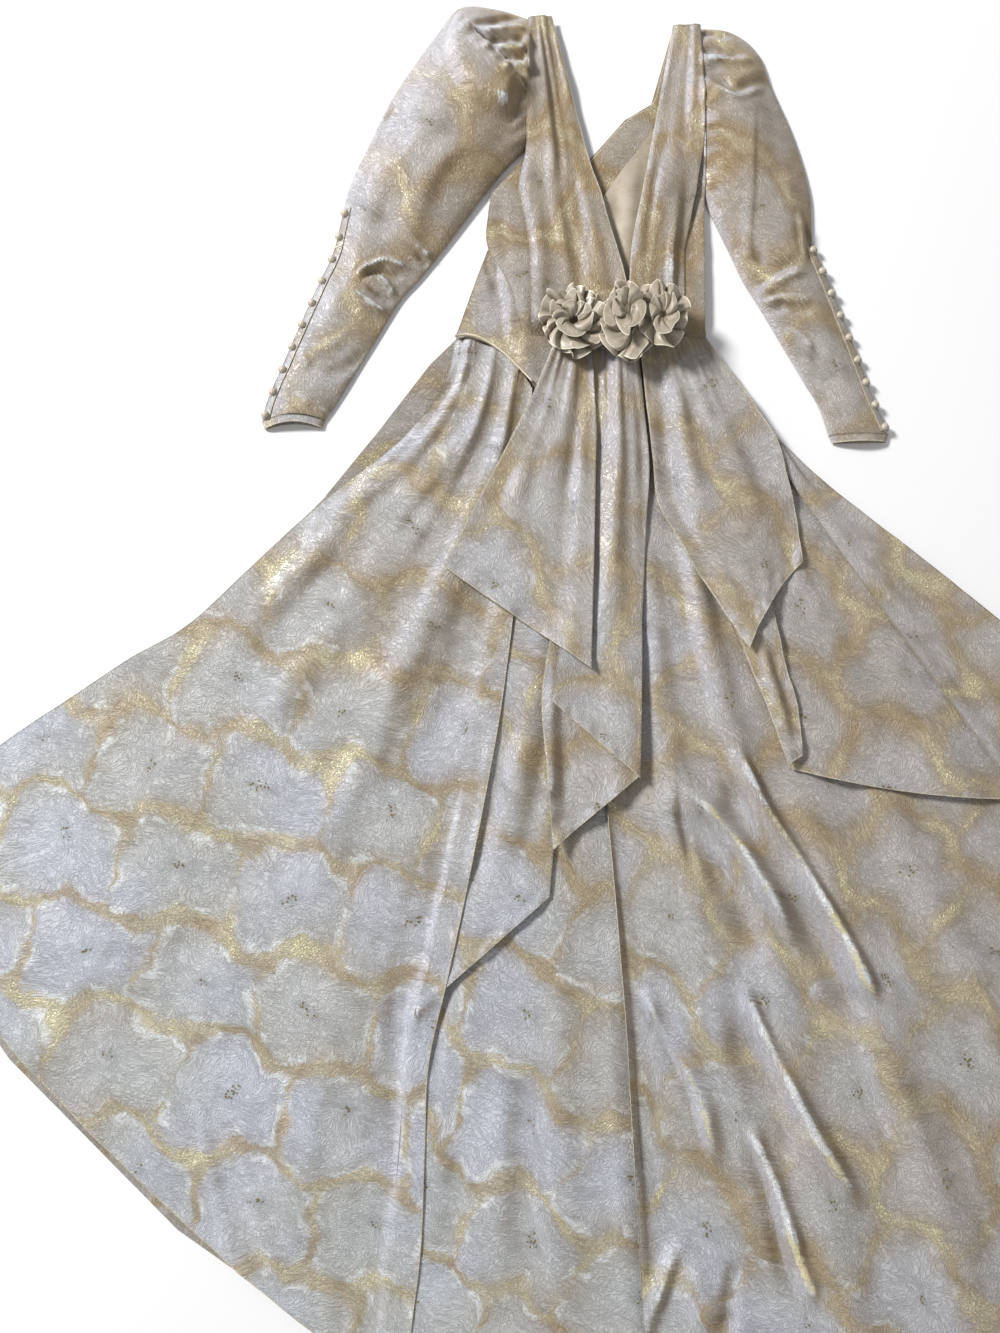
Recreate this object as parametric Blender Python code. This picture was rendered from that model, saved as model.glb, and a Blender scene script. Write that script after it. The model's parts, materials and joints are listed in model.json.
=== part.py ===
"""A wedding dress of figured brocade, laid out flat on its back.

The gown lies on the plane Z = 0 with its neck towards +Y. Its under side (skirt, bodice, lower
side of each sleeve) rests on that plane, and every other piece is laid down on what lies beneath
it, in the order in which the tables below name them. All sizes are in metres, measured from the
middle of the waist while the tables are read, and the finished gown is then moved so that its
bounding box stands centred on the origin.
"""

import math
from collections import namedtuple

import bmesh
import bpy
import numpy as np
from mathutils import Vector
from mathutils.bvhtree import BVHTree

# ---------------------------------------------------------------- driving dimensions
WALL = 0.0018  # brocade with its backing
SATIN_WALL = 0.0012  # lining satin
SEAM = 0.0004  # air left between two pieces that are sewn edge to edge
PLY_GAP = 0.0010  # air left between a piece and what it lies on
SLEEVE_EDGE_AIR = 0.0010  # air between the two sides of a sleeve at its folded edge
PIPING_RADIUS = 0.0019
BUTTON_RADIUS = 0.0056
BUTTON_HEIGHT = 0.0062
CUFF_DEPTH = 0.011
WAIST_Y = -0.030  # bodice above this line, skirt and its drapes below it
HIGH = 1.0  # well above the gown, where the feelers start
EDGE_SAMPLES = 11  # how finely an edge is tried against what it lies on
SETTLING_PASSES = 400
SETTLED = 2e-6
BRIDGING_PASSES = 3  # how far cloth spans the hollows beside a ridge

# A section runs across a piece from its left edge to its right edge. bow is how far its middle
# runs on towards the hem, and air how high the middle stands off what the piece lies on.
Section = namedtuple("Section", "left_x left_y right_x right_y bow air")

# A fold runs down a piece. top and hem are the shares of the width where it starts and ends,
# width is its half width as a share, and start and finish the shares of the length it covers.
Fold = namedtuple("Fold", "top hem width height start finish")

Panel = namedtuple("Panel", "name columns pitch wall colour sections folds")
Ruffle = namedtuple("Ruffle", "name x y radius_x radius_y petals turn rise")

BROCADE, SATIN, ROSE_SATIN, COVERED = "BAB2A9", "CFC3B0", "B9AE9F", "DDD8CF"

# ---------------------------------------------------------------- the under side, on the floor
UNDER_SIDE = [
    Panel("skirt_under_left", 4, 0.40, WALL, BROCADE, [
        Section(-0.211, -0.0285, -SEAM, -0.034, 0.000, 0.0),
        Section(-0.248, -0.066, -SEAM, -0.090, 0.002, 0.0),
        Section(-0.321, -0.165, -SEAM, -0.230, 0.005, 0.0),
        Section(-0.403, -0.270, -SEAM, -0.440, 0.015, 0.0),
        Section(-0.584, -0.456, -SEAM, -0.820, 0.040, 0.0),
        Section(-0.780, -0.596, -SEAM, -1.180, 0.080, 0.0),
        Section(-1.020, -0.788, -SEAM, -1.588, 0.111, 0.0),
    ], []),
    Panel("skirt_under_right", 4, 0.40, WALL, BROCADE, [
        Section(SEAM, -0.034, 0.156, -0.0285, 0.000, 0.0),
        Section(SEAM, -0.230, 0.236, -0.150, 0.005, 0.0),
        Section(SEAM, -0.440, 0.308, -0.238, 0.015, 0.0),
        Section(SEAM, -0.820, 0.500, -0.398, 0.040, 0.0),
        Section(SEAM, -1.180, 0.690, -0.560, 0.100, 0.0),
        Section(SEAM, -1.588, 0.888, -0.752, 0.240, 0.0),
    ], []),
    Panel("bodice_far_left", 3, 0.10, WALL, BROCADE, [
        Section(-0.0985, 0.476, -0.066, 0.476, 0.0, 0.0),
        Section(-0.1035, 0.264, -0.026, 0.266, 0.0, 0.0),
        Section(-0.150, 0.212, -0.022, 0.212, 0.0, 0.0),
        Section(-0.160, 0.185, -0.0205, 0.185, 0.0, 0.0),
        Section(-0.1625, 0.112, -0.0205, 0.112, 0.0, 0.0),
        Section(-0.204, -0.010, -0.0205, -0.012, 0.0, 0.0),
        Section(-0.2105, -0.028, -0.0205, -0.0332, 0.0, 0.0),
    ], []),
    Panel("bodice_far_right", 4, 0.10, WALL, BROCADE, [
        Section(0.118, 0.462, 0.153, 0.462, 0.0, 0.0),
        Section(0.084, 0.343, 0.1555, 0.335, 0.0, 0.0),
        Section(0.044, 0.318, 0.1560, 0.280, 0.0, 0.0),
        Section(-0.012, 0.252, 0.1570, 0.196, 0.0, 0.0),
        Section(-0.0197, 0.210, 0.1600, 0.168, 0.0, 0.0),
        Section(-0.0197, 0.100, 0.1580, 0.100, 0.0, 0.0),
        Section(-0.0197, -0.0332, 0.1560, -0.028, 0.0, 0.0),
    ], []),
]

# ---------------------------------------------------------------- what is laid on it, in order
LAID_ON = [
    Panel("neck_facing", 2, 0.06, WALL, BROCADE, [
        Section(0.117, 0.456, 0.127, 0.456, 0.0, 0.0),
        Section(0.085, 0.342, 0.105, 0.328, 0.0, 0.0),
        Section(0.046, 0.315, 0.078, 0.272, 0.0, 0.001),
        Section(-0.009, 0.250, 0.030, 0.200, 0.0, 0.001),
        Section(-0.038, 0.205, 0.000, 0.155, 0.0, 0.0),
    ], []),
    Panel("bodice_lining", 4, 0.07, SATIN_WALL, SATIN, [
        Section(-0.012, 0.160, 0.086, 0.298, 0.0, 0.004),
        Section(-0.010, 0.130, 0.110, 0.230, 0.0, 0.006),
        Section(-0.008, 0.080, 0.120, 0.130, 0.0, 0.004),
        Section(-0.004, -0.020, 0.110, -0.020, 0.0, 0.002),
    ], [Fold(0.55, 0.45, 0.30, 0.004, 0.0, 0.9)]),
    Panel("hip_yoke_left", 7, 0.035, WALL, BROCADE, [
        Section(-0.164, 0.108, -0.110, 0.100, 0.0, 0.0),
        Section(-0.178, 0.068, -0.080, 0.050, 0.0, 0.002),
        Section(-0.204, -0.008, -0.040, -0.020, 0.0, 0.005),
        Section(-0.211, -0.0265, -0.030, -0.104, -0.022, 0.006),
    ], [Fold(0.45, 0.62, 0.16, 0.007, 0.2, 1.0)]),
    Panel("hip_yoke_right", 5, 0.05, WALL, BROCADE, [
        Section(0.120, 0.060, 0.157, 0.060, 0.0, 0.0),
        Section(0.030, -0.020, 0.1565, -0.005, 0.0, 0.002),
        Section(0.026, -0.104, 0.158, -0.028, -0.016, 0.002),
    ], []),
    Panel("skirt_centre", 5, 0.16, WALL, BROCADE, [
        Section(-0.096, -0.1090, 0.010, -0.1090, 0.0, 0.001),
        Section(-0.150, -0.400, 0.050, -0.400, 0.0, 0.002),
        Section(-0.200, -0.700, 0.048, -0.700, 0.0, 0.004),
        Section(-0.268, -0.980, 0.068, -1.000, 0.0, 0.006),
        Section(-0.288, -1.250, 0.080, -1.300, 0.005, 0.007),
        Section(-0.312, -1.446, 0.094, -1.592, 0.030, 0.004),
    ], [
        Fold(0.30, 0.30, 0.22, 0.005, 0.35, 1.0),
        Fold(0.70, 0.66, 0.20, 0.006, 0.45, 1.0),
    ]),
    Panel("skirt_right", 16, 0.105, WALL, BROCADE, [
        Section(0.012, -0.1090, 0.196, -0.092, 0.0, 0.001),
        Section(0.006, -0.300, 0.292, -0.262, 0.0, 0.003),
        Section(-0.002, -0.560, 0.418, -0.432, 0.010, 0.006),
        Section(0.004, -0.700, 0.500, -0.560, 0.020, 0.007),
        Section(0.026, -1.000, 0.640, -0.770, 0.045, 0.008),
        Section(0.040, -1.300, 0.740, -0.930, 0.075, 0.007),
        Section(0.052, -1.596, 0.828, -1.098, 0.105, 0.003),
    ], [
        Fold(0.02, 0.01, 0.05, 0.010, 0.30, 1.0),
        Fold(0.22, 0.14, 0.07, 0.012, 0.20, 1.0),
        Fold(0.40, 0.30, 0.06, 0.016, 0.25, 1.0),
        Fold(0.58, 0.47, 0.07, 0.018, 0.30, 1.0),
        Fold(0.74, 0.66, 0.07, 0.013, 0.35, 1.0),
        Fold(0.90, 0.86, 0.06, 0.009, 0.50, 1.0),
    ]),
    Panel("overskirt_right", 7, 0.11, WALL, BROCADE, [
        Section(0.090, -0.100, 0.240, -0.160, 0.0, 0.001),
        Section(0.130, -0.300, 0.330, -0.300, 0.0, 0.002),
        Section(0.190, -0.480, 0.455, -0.480, 0.0, 0.003),
        Section(0.258, -0.658, 0.598, -0.700, 0.012, 0.002),
    ], [
        Fold(0.35, 0.28, 0.20, 0.004, 0.2, 1.0),
        Fold(0.75, 0.70, 0.16, 0.005, 0.2, 1.0),
    ]),
    Panel("skirt_side_right", 5, 0.16, WALL, BROCADE, [
        Section(0.254, -0.215, 0.268, -0.168, 0.0, 0.001),
        Section(0.296, -0.285, 0.330, -0.245, 0.0, 0.004),
        Section(0.390, -0.425, 0.470, -0.365, 0.0, 0.007),
        Section(0.550, -0.660, 0.660, -0.526, 0.0, 0.008),
        Section(0.720, -0.940, 0.820, -0.665, 0.0, 0.006),
        Section(0.806, -1.098, 0.900, -0.744, 0.030, 0.002),
    ], [Fold(0.10, 0.08, 0.20, 0.006, 0.05, 1.0)]),
    Panel("overskirt_left", 5, 0.11, WALL, BROCADE, [
        Section(-0.130, -0.330, -0.045, -0.330, 0.0, 0.001),
        Section(-0.172, -0.560, -0.048, -0.560, 0.0, 0.002),
        Section(-0.212, -0.760, -0.068, -0.740, 0.0, 0.003),
        Section(-0.262, -0.992, -0.077, -0.833, 0.0, 0.001),
    ], [Fold(0.66, 0.72, 0.22, 0.006, 0.0, 0.95)]),
    Panel("skirt_left", 14, 0.105, WALL, BROCADE, [
        Section(-0.212, -0.0300, -0.098, -0.1060, -0.020, 0.002),
        Section(-0.226, -0.098, -0.104, -0.200, -0.004, 0.005),
        Section(-0.287, -0.180, -0.112, -0.310, 0.004, 0.006),
        Section(-0.376, -0.253, -0.124, -0.420, 0.010, 0.007),
        Section(-0.428, -0.298, -0.132, -0.490, 0.014, 0.007),
        Section(-0.505, -0.373, -0.146, -0.590, 0.018, 0.007),
        Section(-0.589, -0.453, -0.166, -0.700, 0.022, 0.007),
        Section(-0.676, -0.505, -0.194, -0.840, 0.028, 0.007),
        Section(-0.830, -0.610, -0.242, -1.060, 0.034, 0.006),
        Section(-0.940, -0.698, -0.250, -1.290, 0.040, 0.005),
        Section(-1.030, -0.780, -0.272, -1.482, 0.045, 0.002),
    ], [
        Fold(0.97, 0.97, 0.07, 0.010, 0.05, 1.0),
        Fold(0.16, 0.10, 0.09, 0.009, 0.0, 0.40),
        Fold(0.42, 0.30, 0.10, 0.008, 0.0, 0.50),
        Fold(0.70, 0.58, 0.10, 0.009, 0.0, 0.60),
        Fold(0.80, 0.80, 0.07, 0.006, 0.45, 1.0),
        Fold(0.30, 0.36, 0.06, 0.005, 0.70, 1.0),
    ]),
    Panel("bodice_side_left", 3, 0.05, WALL, BROCADE, [
        Section(-0.158, 0.198, -0.112, 0.246, 0.0, 0.002),
        Section(-0.1625, 0.165, -0.092, 0.165, 0.0, 0.004),
        Section(-0.1635, 0.112, -0.088, 0.100, 0.0, 0.005),
        Section(-0.132, 0.052, -0.084, 0.030, 0.0, 0.004),
        Section(-0.112, -0.028, -0.078, -0.028, 0.0, 0.002),
    ], []),
    Panel("bodice_side_right", 2, 0.06, WALL, BROCADE, [
        Section(0.142, 0.345, 0.1555, 0.345, 0.0, 0.002),
        Section(0.126, 0.196, 0.1575, 0.192, 0.0, 0.004),
        Section(0.118, 0.110, 0.1580, 0.110, 0.0, 0.004),
        Section(0.114, -0.028, 0.1560, -0.026, 0.0, 0.002),
    ], []),
    Panel("bodice_under_right", 8, 0.065, WALL, BROCADE, [
        Section(0.1175, 0.464, 0.1540, 0.464, 0.0, 0.003),
        Section(0.090, 0.319, 0.1450, 0.330, 0.0, 0.008),
        Section(0.065, 0.191, 0.1330, 0.200, 0.0, 0.009),
        Section(0.049, 0.110, 0.1280, 0.110, 0.0, 0.008),
        Section(0.038, -0.029, 0.1240, -0.029, 0.0, 0.004),
    ], [
        Fold(0.10, 0.10, 0.14, 0.004, 0.0, 1.0),
        Fold(0.45, 0.40, 0.16, 0.005, 0.0, 1.0),
        Fold(0.80, 0.75, 0.15, 0.007, 0.0, 1.0),
    ]),
    Panel("bodice_over_left", 10, 0.065, WALL, BROCADE, [
        Section(-0.0985, 0.478, -0.0655, 0.480, 0.0, 0.003),
        Section(-0.1030, 0.262, -0.0100, 0.239, 0.0, 0.010),
        Section(-0.1180, 0.205, 0.0050, 0.191, 0.0, 0.010),
        Section(-0.1060, 0.136, 0.0200, 0.130, 0.0, 0.009),
        Section(-0.1010, 0.060, 0.0390, 0.055, 0.0, 0.008),
        Section(-0.1000, -0.029, 0.0470, -0.029, 0.0, 0.004),
    ], [
        Fold(0.12, 0.10, 0.12, 0.006, 0.0, 1.0),
        Fold(0.38, 0.36, 0.13, 0.006, 0.0, 1.0),
        Fold(0.62, 0.60, 0.12, 0.006, 0.0, 1.0),
        Fold(0.90, 0.88, 0.12, 0.005, 0.0, 1.0),
    ]),
    Panel("cascade_left_inner", 4, 0.10, WALL, BROCADE, [
        Section(-0.072, -0.460, 0.034, -0.460, 0.0, 0.001),
        Section(-0.087, -0.561, 0.046, -0.560, 0.0, 0.003),
        Section(-0.072, -0.768, 0.048, -0.668, 0.0, 0.001),
    ], [Fold(0.08, 0.06, 0.20, 0.005, 0.0, 1.0)]),
    Panel("cascade_left_middle", 6, 0.085, WALL, BROCADE, [
        Section(-0.010, -0.0310, 0.0560, -0.0310, 0.0, 0.004),
        Section(-0.022, -0.200, 0.0700, -0.220, 0.0, 0.006),
        Section(-0.048, -0.400, 0.0560, -0.440, 0.0, 0.006),
        Section(-0.074, -0.563, 0.0490, -0.671, 0.0, 0.002),
    ], [
        Fold(0.50, 0.45, 0.20, 0.007, 0.0, 0.7),
        Fold(0.92, 0.95, 0.14, 0.008, 0.0, 1.0),
    ]),
    Panel("cascade_left_top", 7, 0.085, WALL, BROCADE, [
        Section(-0.062, -0.0310, -0.0110, -0.0310, 0.0, 0.004),
        Section(-0.103, -0.130, -0.0060, -0.170, 0.0, 0.006),
        Section(-0.158, -0.240, -0.0100, -0.310, 0.0, 0.006),
        Section(-0.226, -0.372, -0.0180, -0.519, 0.0, 0.002),
    ], [
        Fold(0.30, 0.30, 0.18, 0.006, 0.0, 0.6),
        Fold(0.62, 0.60, 0.16, 0.007, 0.0, 0.7),
        Fold(0.94, 0.95, 0.12, 0.007, 0.0, 1.0),
    ]),
    Panel("cascade_right_middle", 3, 0.11, WALL, BROCADE, [
        Section(0.150, -0.360, 0.232, -0.400, 0.0, 0.001),
        Section(0.198, -0.500, 0.250, -0.500, 0.0, 0.003),
        Section(0.226, -0.575, 0.268, -0.575, 0.0, 0.003),
        Section(0.251, -0.652, 0.272, -0.640, 0.0, 0.001),
    ], []),
    Panel("cascade_right_top", 9, 0.075, WALL, BROCADE, [
        Section(0.057, -0.0310, 0.158, -0.0310, 0.0, 0.004),
        Section(0.068, -0.150, 0.212, -0.112, 0.0, 0.007),
        Section(0.080, -0.280, 0.254, -0.188, 0.0, 0.008),
        Section(0.132, -0.380, 0.276, -0.290, 0.0, 0.006),
        Section(0.200, -0.492, 0.284, -0.366, -0.008, 0.002),
    ], [
        Fold(0.06, 0.06, 0.12, 0.011, 0.0, 1.0),
        Fold(0.34, 0.34, 0.14, 0.009, 0.0, 0.8),
        Fold(0.62, 0.62, 0.14, 0.007, 0.0, 0.7),
    ]),
]

# ---------------------------------------------------------------- sleeves
# A sleeve's section runs from its outer edge to its under-arm edge; bow is how far its middle
# runs back towards the shoulder, and air the height of the hollow at its middle.
SLEEVE_LEFT = [
    Section(-0.0992, 0.480, -0.1042, 0.270, 0.000, 0.020),
    Section(-0.150, 0.497, -0.124, 0.250, 0.000, 0.030),
    Section(-0.206, 0.499, -0.150, 0.220, 0.000, 0.032),
    Section(-0.245, 0.450, -0.176, 0.184, 0.000, 0.030),
    Section(-0.304, 0.359, -0.205, 0.143, 0.000, 0.024),
    Section(-0.345, 0.270, -0.234, 0.103, 0.000, 0.018),
    Section(-0.372, 0.205, -0.264, 0.064, 0.000, 0.014),
    Section(-0.394, 0.104, -0.293, 0.030, 0.000, 0.016),
    Section(-0.427, 0.026, -0.325, -0.025, 0.000, 0.012),
    Section(-0.455, -0.043, -0.355, -0.077, 0.000, 0.011),
    Section(-0.485, -0.119, -0.386, -0.130, 0.004, 0.010),
    Section(-0.4930, -0.154, -0.401, -0.152, 0.008, 0.009),
]
SLEEVE_RIGHT = [
    Section(0.1556, 0.466, 0.1580, 0.197, 0.000, 0.018),
    Section(0.205, 0.458, 0.164, 0.182, 0.000, 0.028),
    Section(0.245, 0.425, 0.171, 0.163, 0.000, 0.030),
    Section(0.266, 0.365, 0.181, 0.140, 0.000, 0.028),
    Section(0.296, 0.288, 0.198, 0.102, 0.000, 0.022),
    Section(0.318, 0.200, 0.215, 0.062, 0.000, 0.017),
    Section(0.321, 0.118, 0.232, 0.032, 0.000, 0.016),
    Section(0.340, 0.062, 0.250, 0.000, 0.000, 0.014),
    Section(0.362, 0.000, 0.275, -0.046, 0.000, 0.011),
    Section(0.382, -0.060, 0.300, -0.092, 0.000, 0.011),
    Section(0.400, -0.118, 0.322, -0.132, 0.000, 0.010),
    Section(0.4215, -0.173, 0.3350, -0.175, 0.000, 0.009),
]
PUFF_FOLDS = [
    Fold(0.22, 0.30, 0.10, 0.007, 0.0, 0.30),
    Fold(0.45, 0.46, 0.10, 0.008, 0.0, 0.45),
    Fold(0.70, 0.62, 0.10, 0.006, 0.0, 0.30),
    Fold(0.30, 0.35, 0.14, 0.006, 0.45, 0.70),
]
SLEEVE_TOP_COLUMNS = (0.0, 0.05, 0.14, 0.24, 0.34, 0.44, 0.54, 0.64, 0.74, 0.85, 0.95, 1.0)
SLEEVE_FLOOR_COLUMNS = (0.95, 0.66, 0.34, 0.05)
SLEEVE_ROUNDNESS = 0.8  # 1 gives a sine across the sleeve, less gives flatter tops

# The upper sleeve folds over its own gathered head on the left.
SLEEVE_FLAP = Panel("sleeve_left_fold", 5, 0.06, WALL, BROCADE, [
    Section(-0.230, 0.450, -0.206, 0.468, 0.0, 0.001),
    Section(-0.230, 0.390, -0.176, 0.421, 0.0, 0.003),
    Section(-0.196, 0.325, -0.138, 0.383, 0.0, 0.003),
    Section(-0.124, 0.290, -0.1050, 0.350, 0.0, 0.001),
], [Fold(0.85, 0.85, 0.20, 0.004, 0.0, 1.0)])

CUFF_TAPER = 0.004  # how much each end of the cuff draws in

# Plackets run down the outer edge of each forearm; each row is one cross strip.
PLACKET_LEFT = Panel("placket_left", 1, 0.05, WALL, BROCADE, [
    Section(-0.3775, 0.170, -0.367, 0.173, 0.0, 0.0),
    Section(-0.3930, 0.103, -0.382, 0.100, 0.0, 0.0),
    Section(-0.4255, 0.026, -0.415, 0.021, 0.0, 0.0),
    Section(-0.4535, -0.043, -0.443, -0.047, 0.0, 0.0),
    Section(-0.4835, -0.119, -0.473, -0.121, 0.0, 0.0),
    Section(-0.4915, -0.152, -0.481, -0.152, 0.0, 0.0),
], [])
PLACKET_RIGHT = Panel("placket_right", 1, 0.05, WALL, BROCADE, [
    Section(0.309, 0.112, 0.3205, 0.113, 0.0, 0.0),
    Section(0.328, 0.056, 0.3390, 0.062, 0.0, 0.0),
    Section(0.350, -0.004, 0.3610, 0.000, 0.0, 0.0),
    Section(0.370, -0.062, 0.3810, -0.060, 0.0, 0.0),
    Section(0.388, -0.118, 0.3990, -0.118, 0.0, 0.0),
    Section(0.4085, -0.170, 0.4200, -0.169, 0.0, 0.0),
], [])
BUTTONS_LEFT, BUTTONS_RIGHT = 10, 9
BUTTON_INSET = 0.30  # share of the placket's width from its outer edge

# ---------------------------------------------------------------- trimmings
PIPING_LEFT = [(-0.2115, -0.0282), (-0.196, -0.0240), (-0.178, -0.0290), (-0.158, -0.0400),
               (-0.138, -0.0560), (-0.118, -0.0760), (-0.098, -0.0990)]
PIPING_SIDES = 6
ROSETTES = [
    Ruffle("rosette_left_outer", -0.039, -0.020, 0.053, 0.051, 7, 0.3, 0.013),
    Ruffle("rosette_centre_outer", 0.048, -0.024, 0.042, 0.055, 6, 1.1, 0.014),
    Ruffle("rosette_right_outer", 0.103, -0.022, 0.034, 0.048, 5, 0.6, 0.012),
    Ruffle("rosette_left_inner", -0.038, -0.019, 0.032, 0.031, 5, 1.0, 0.013),
    Ruffle("rosette_centre_inner", 0.048, -0.022, 0.027, 0.034, 5, 0.2, 0.013),
    Ruffle("rosette_right_inner", 0.102, -0.020, 0.022, 0.030, 4, 1.3, 0.011),
]
RUFFLE_STEPS_PER_PETAL = 4
RUFFLE_RINGS = (0.0, 0.34, 0.68, 1.0)


def clear_scene():
    """Removes what a new file starts with."""
    for item in list(bpy.data.objects):
        bpy.data.objects.remove(item, do_unlink=True)


def linear(hexes):
    """An sRGB hex colour as linear red, green, blue and alpha."""
    shares = [int(hexes[i:i + 2], 16) / 255 for i in (0, 2, 4)]
    return [c / 12.92 if c <= 0.04045 else ((c + 0.055) / 1.055) ** 2.4 for c in shares] + [1.0]


def cloth_material(name, colour, roughness=0.45, metallic=0.1):
    """The plain finish of one piece."""
    material = bpy.data.materials.new(name)
    material.use_nodes = True
    shader = material.node_tree.nodes["Principled BSDF"]
    shader.inputs["Base Color"].default_value = linear(colour)
    shader.inputs["Roughness"].default_value = roughness
    shader.inputs["Metallic"].default_value = metallic
    return material


def rise(share, start, finish, ramp=0.12):
    """1 between start and finish, easing to 0 over ramp outside them."""
    into = np.clip((share - start) / ramp + 1, 0, 1)
    out = np.clip((finish - share) / ramp + 1, 0, 1)
    eased = into * out
    return eased * eased * (3 - 2 * eased)


def fold_height(across, down, folds):
    """The height that the folds add at the given shares of a piece's width and length."""
    total = np.zeros(np.broadcast(across, down).shape)
    for fold in folds:
        middle = fold.top + (fold.hem - fold.top) * down
        away = np.clip(np.abs(across - middle) / fold.width, 0, 1)
        total += fold.height * np.cos(away * math.pi / 2) ** 2 * rise(down, fold.start, fold.finish)
    return total


def section_rows(sections, pitch):
    """The sections with further ones between them, about pitch apart."""
    table = np.array(sections, float)
    rows = [table[0]]
    for upper, lower in zip(table, table[1:]):
        length = max(math.dist(upper[:2], lower[:2]), math.dist(upper[2:4], lower[2:4]))
        steps = max(1, round(length / pitch))
        rows += [upper + (lower - upper) * step / steps for step in range(1, steps + 1)]
    return np.array(rows)


def row_points(row, shares):
    """Points along one section, at shares of its width, with its bow."""
    left, right = row[:2], row[2:4]
    along = right - left
    hemward = np.array([along[1], -along[0]]) / np.linalg.norm(along)
    return left + np.outer(shares, along) + np.outer(4 * shares * (1 - shares) * row[4], hemward)


def down_shares(rows):
    """How far down the piece each row is, as a share of its length."""
    middles = (rows[:, :2] + rows[:, 2:4]) / 2
    steps = np.linalg.norm(np.diff(middles, axis=0), axis=1)
    return np.concatenate([[0], np.cumsum(steps)]) / steps.sum()


class Ply:
    """One piece of cloth as a net of triangles seen from above, with the height of its under side."""

    def __init__(self, name, points, triangles, rim, under, wall, colour):
        self.name, self.points, self.triangles = name, points, triangles
        self.rim, self.under, self.wall, self.colour = rim, under, wall, colour

    def settle_on(self, laid):
        """Raises the piece until it is clear of all that is already laid beneath it."""
        tests = contact_tests(self, laid)
        if tests is None:
            return
        corners, weights, wanted = tests
        spread = (weights**2).sum(axis=1, keepdims=True)
        for _ in range(SETTLING_PASSES):
            short = wanted - (weights * self.under[corners]).sum(axis=1)
            if short.max() < SETTLED:
                break
            lift = np.zeros(len(self.under))
            np.maximum.at(lift, corners, np.clip(short, 0, None)[:, None] * weights / spread)
            self.under = self.under + lift

    def bridge(self):
        """Lets the cloth span the hollows beside a ridge, as stiff brocade does."""
        ends = np.concatenate([self.triangles[:, pair] for pair in ([0, 1], [1, 2], [2, 0])])
        ends = np.concatenate([ends, ends[:, ::-1]])
        count = np.bincount(ends[:, 0], minlength=len(self.under))
        for _ in range(BRIDGING_PASSES):
            mean = np.bincount(ends[:, 0], self.under[ends[:, 1]], len(self.under)) / count
            self.under = np.maximum(self.under, 0.5 * (self.under + mean))

    def solid(self):
        """The piece as a closed wall of cloth."""
        count = len(self.points)
        low = np.column_stack([self.points, self.under])
        high = np.column_stack([self.points, self.under + self.wall])
        faces = [tuple(t) for t in self.triangles + count] + [tuple(t[::-1]) for t in self.triangles]
        for here, there in zip(self.rim, np.roll(self.rim, -1)):
            faces += [(here, there, there + count), (here, there + count, here + count)]
        return mesh_object(self.name, np.vstack([low, high]), faces, self.colour)


def highest(trees, x, y):
    """The top of what lies at this place, or None where nothing does."""
    found = [hit[0].z for hit in (tree.ray_cast(Vector((x, y, HIGH)), Vector((0, 0, -1))) for tree in trees)
             if hit[0] is not None]
    return max(found) if found else None


def contact_tests(ply, laid):
    """Where the piece could touch what is laid: triangle corners, weights and the height it must have."""
    low, high = ply.points.min(axis=0), ply.points.max(axis=0)
    near = [o for o in laid if (o.low < high).all() and (o.high > low).all()]
    if not near:
        return None
    flat = [Vector((x, y, 0)) for x, y in ply.points]
    own_tree = BVHTree.FromPolygons(flat, ply.triangles.tolist())
    corners, weights, wanted = [], [], []
    steps = np.arange(0, EDGE_SAMPLES + 1) / EDGE_SAMPLES
    trials = [(1 - s, s, 0) for s in steps] + [(0, 1 - s, s) for s in steps] + [(s, 0, 1 - s) for s in steps]
    trials += [(0.6, 0.2, 0.2), (0.2, 0.6, 0.2), (0.2, 0.2, 0.6), (1 / 3, 1 / 3, 1 / 3)]
    trees = [o.tree for o in near]
    for triangle in ply.triangles:
        spots = np.array(trials) @ ply.points[triangle]
        for spot, weight in zip(spots, trials):
            top = highest(trees, *spot)
            if top is not None:
                corners.append(triangle)
                weights.append(weight)
                wanted.append(top + PLY_GAP)
    for item in near:
        for x, y, z in item.feelers:
            hit = own_tree.ray_cast(Vector((x, y, HIGH)), Vector((0, 0, -1)))
            if hit[0] is None:
                continue
            triangle = ply.triangles[hit[2]]
            corner = np.vstack([ply.points[triangle].T, np.ones(3)])
            weight = np.linalg.solve(corner, [x, y, 1])
            corners.append(triangle)
            weights.append(weight)
            wanted.append(z + PLY_GAP)
    if not wanted:
        return None
    return np.array(corners), np.array(weights, float), np.array(wanted)


class Laid:
    """A finished solid, as the pieces laid on it later feel it."""

    def __init__(self, item):
        self.item = item
        self.points = np.array([v.co for v in item.data.vertices])
        faces = [tuple(p.vertices) for p in item.data.polygons]
        self.tree = BVHTree.FromPolygons([Vector(p) for p in self.points], faces)
        self.low, self.high = self.points[:, :2].min(axis=0), self.points[:, :2].max(axis=0)
        edges = np.array([tuple(e.vertices) for e in item.data.edges])
        steps = (np.arange(EDGE_SAMPLES) / EDGE_SAMPLES)[:, None, None]
        along = self.points[edges[:, 0]] * (1 - steps) + self.points[edges[:, 1]] * steps
        self.feelers = np.vstack([self.points, along.reshape(-1, 3)])


def mesh_object(name, points, faces, colour):
    """A closed mesh with its own material, linked to the scene."""
    mesh = bpy.data.meshes.new(name)
    mesh.from_pydata([tuple(p) for p in points], [], [tuple(int(i) for i in f) for f in faces])
    work = bmesh.new()
    work.from_mesh(mesh)
    bmesh.ops.recalc_face_normals(work, faces=work.faces)
    work.to_mesh(mesh)
    work.free()
    mesh.shade_smooth()
    item = bpy.data.objects.new(name, mesh)
    item.data.materials.append(cloth_material(name, colour))
    bpy.context.scene.collection.objects.link(item)
    return item


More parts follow.
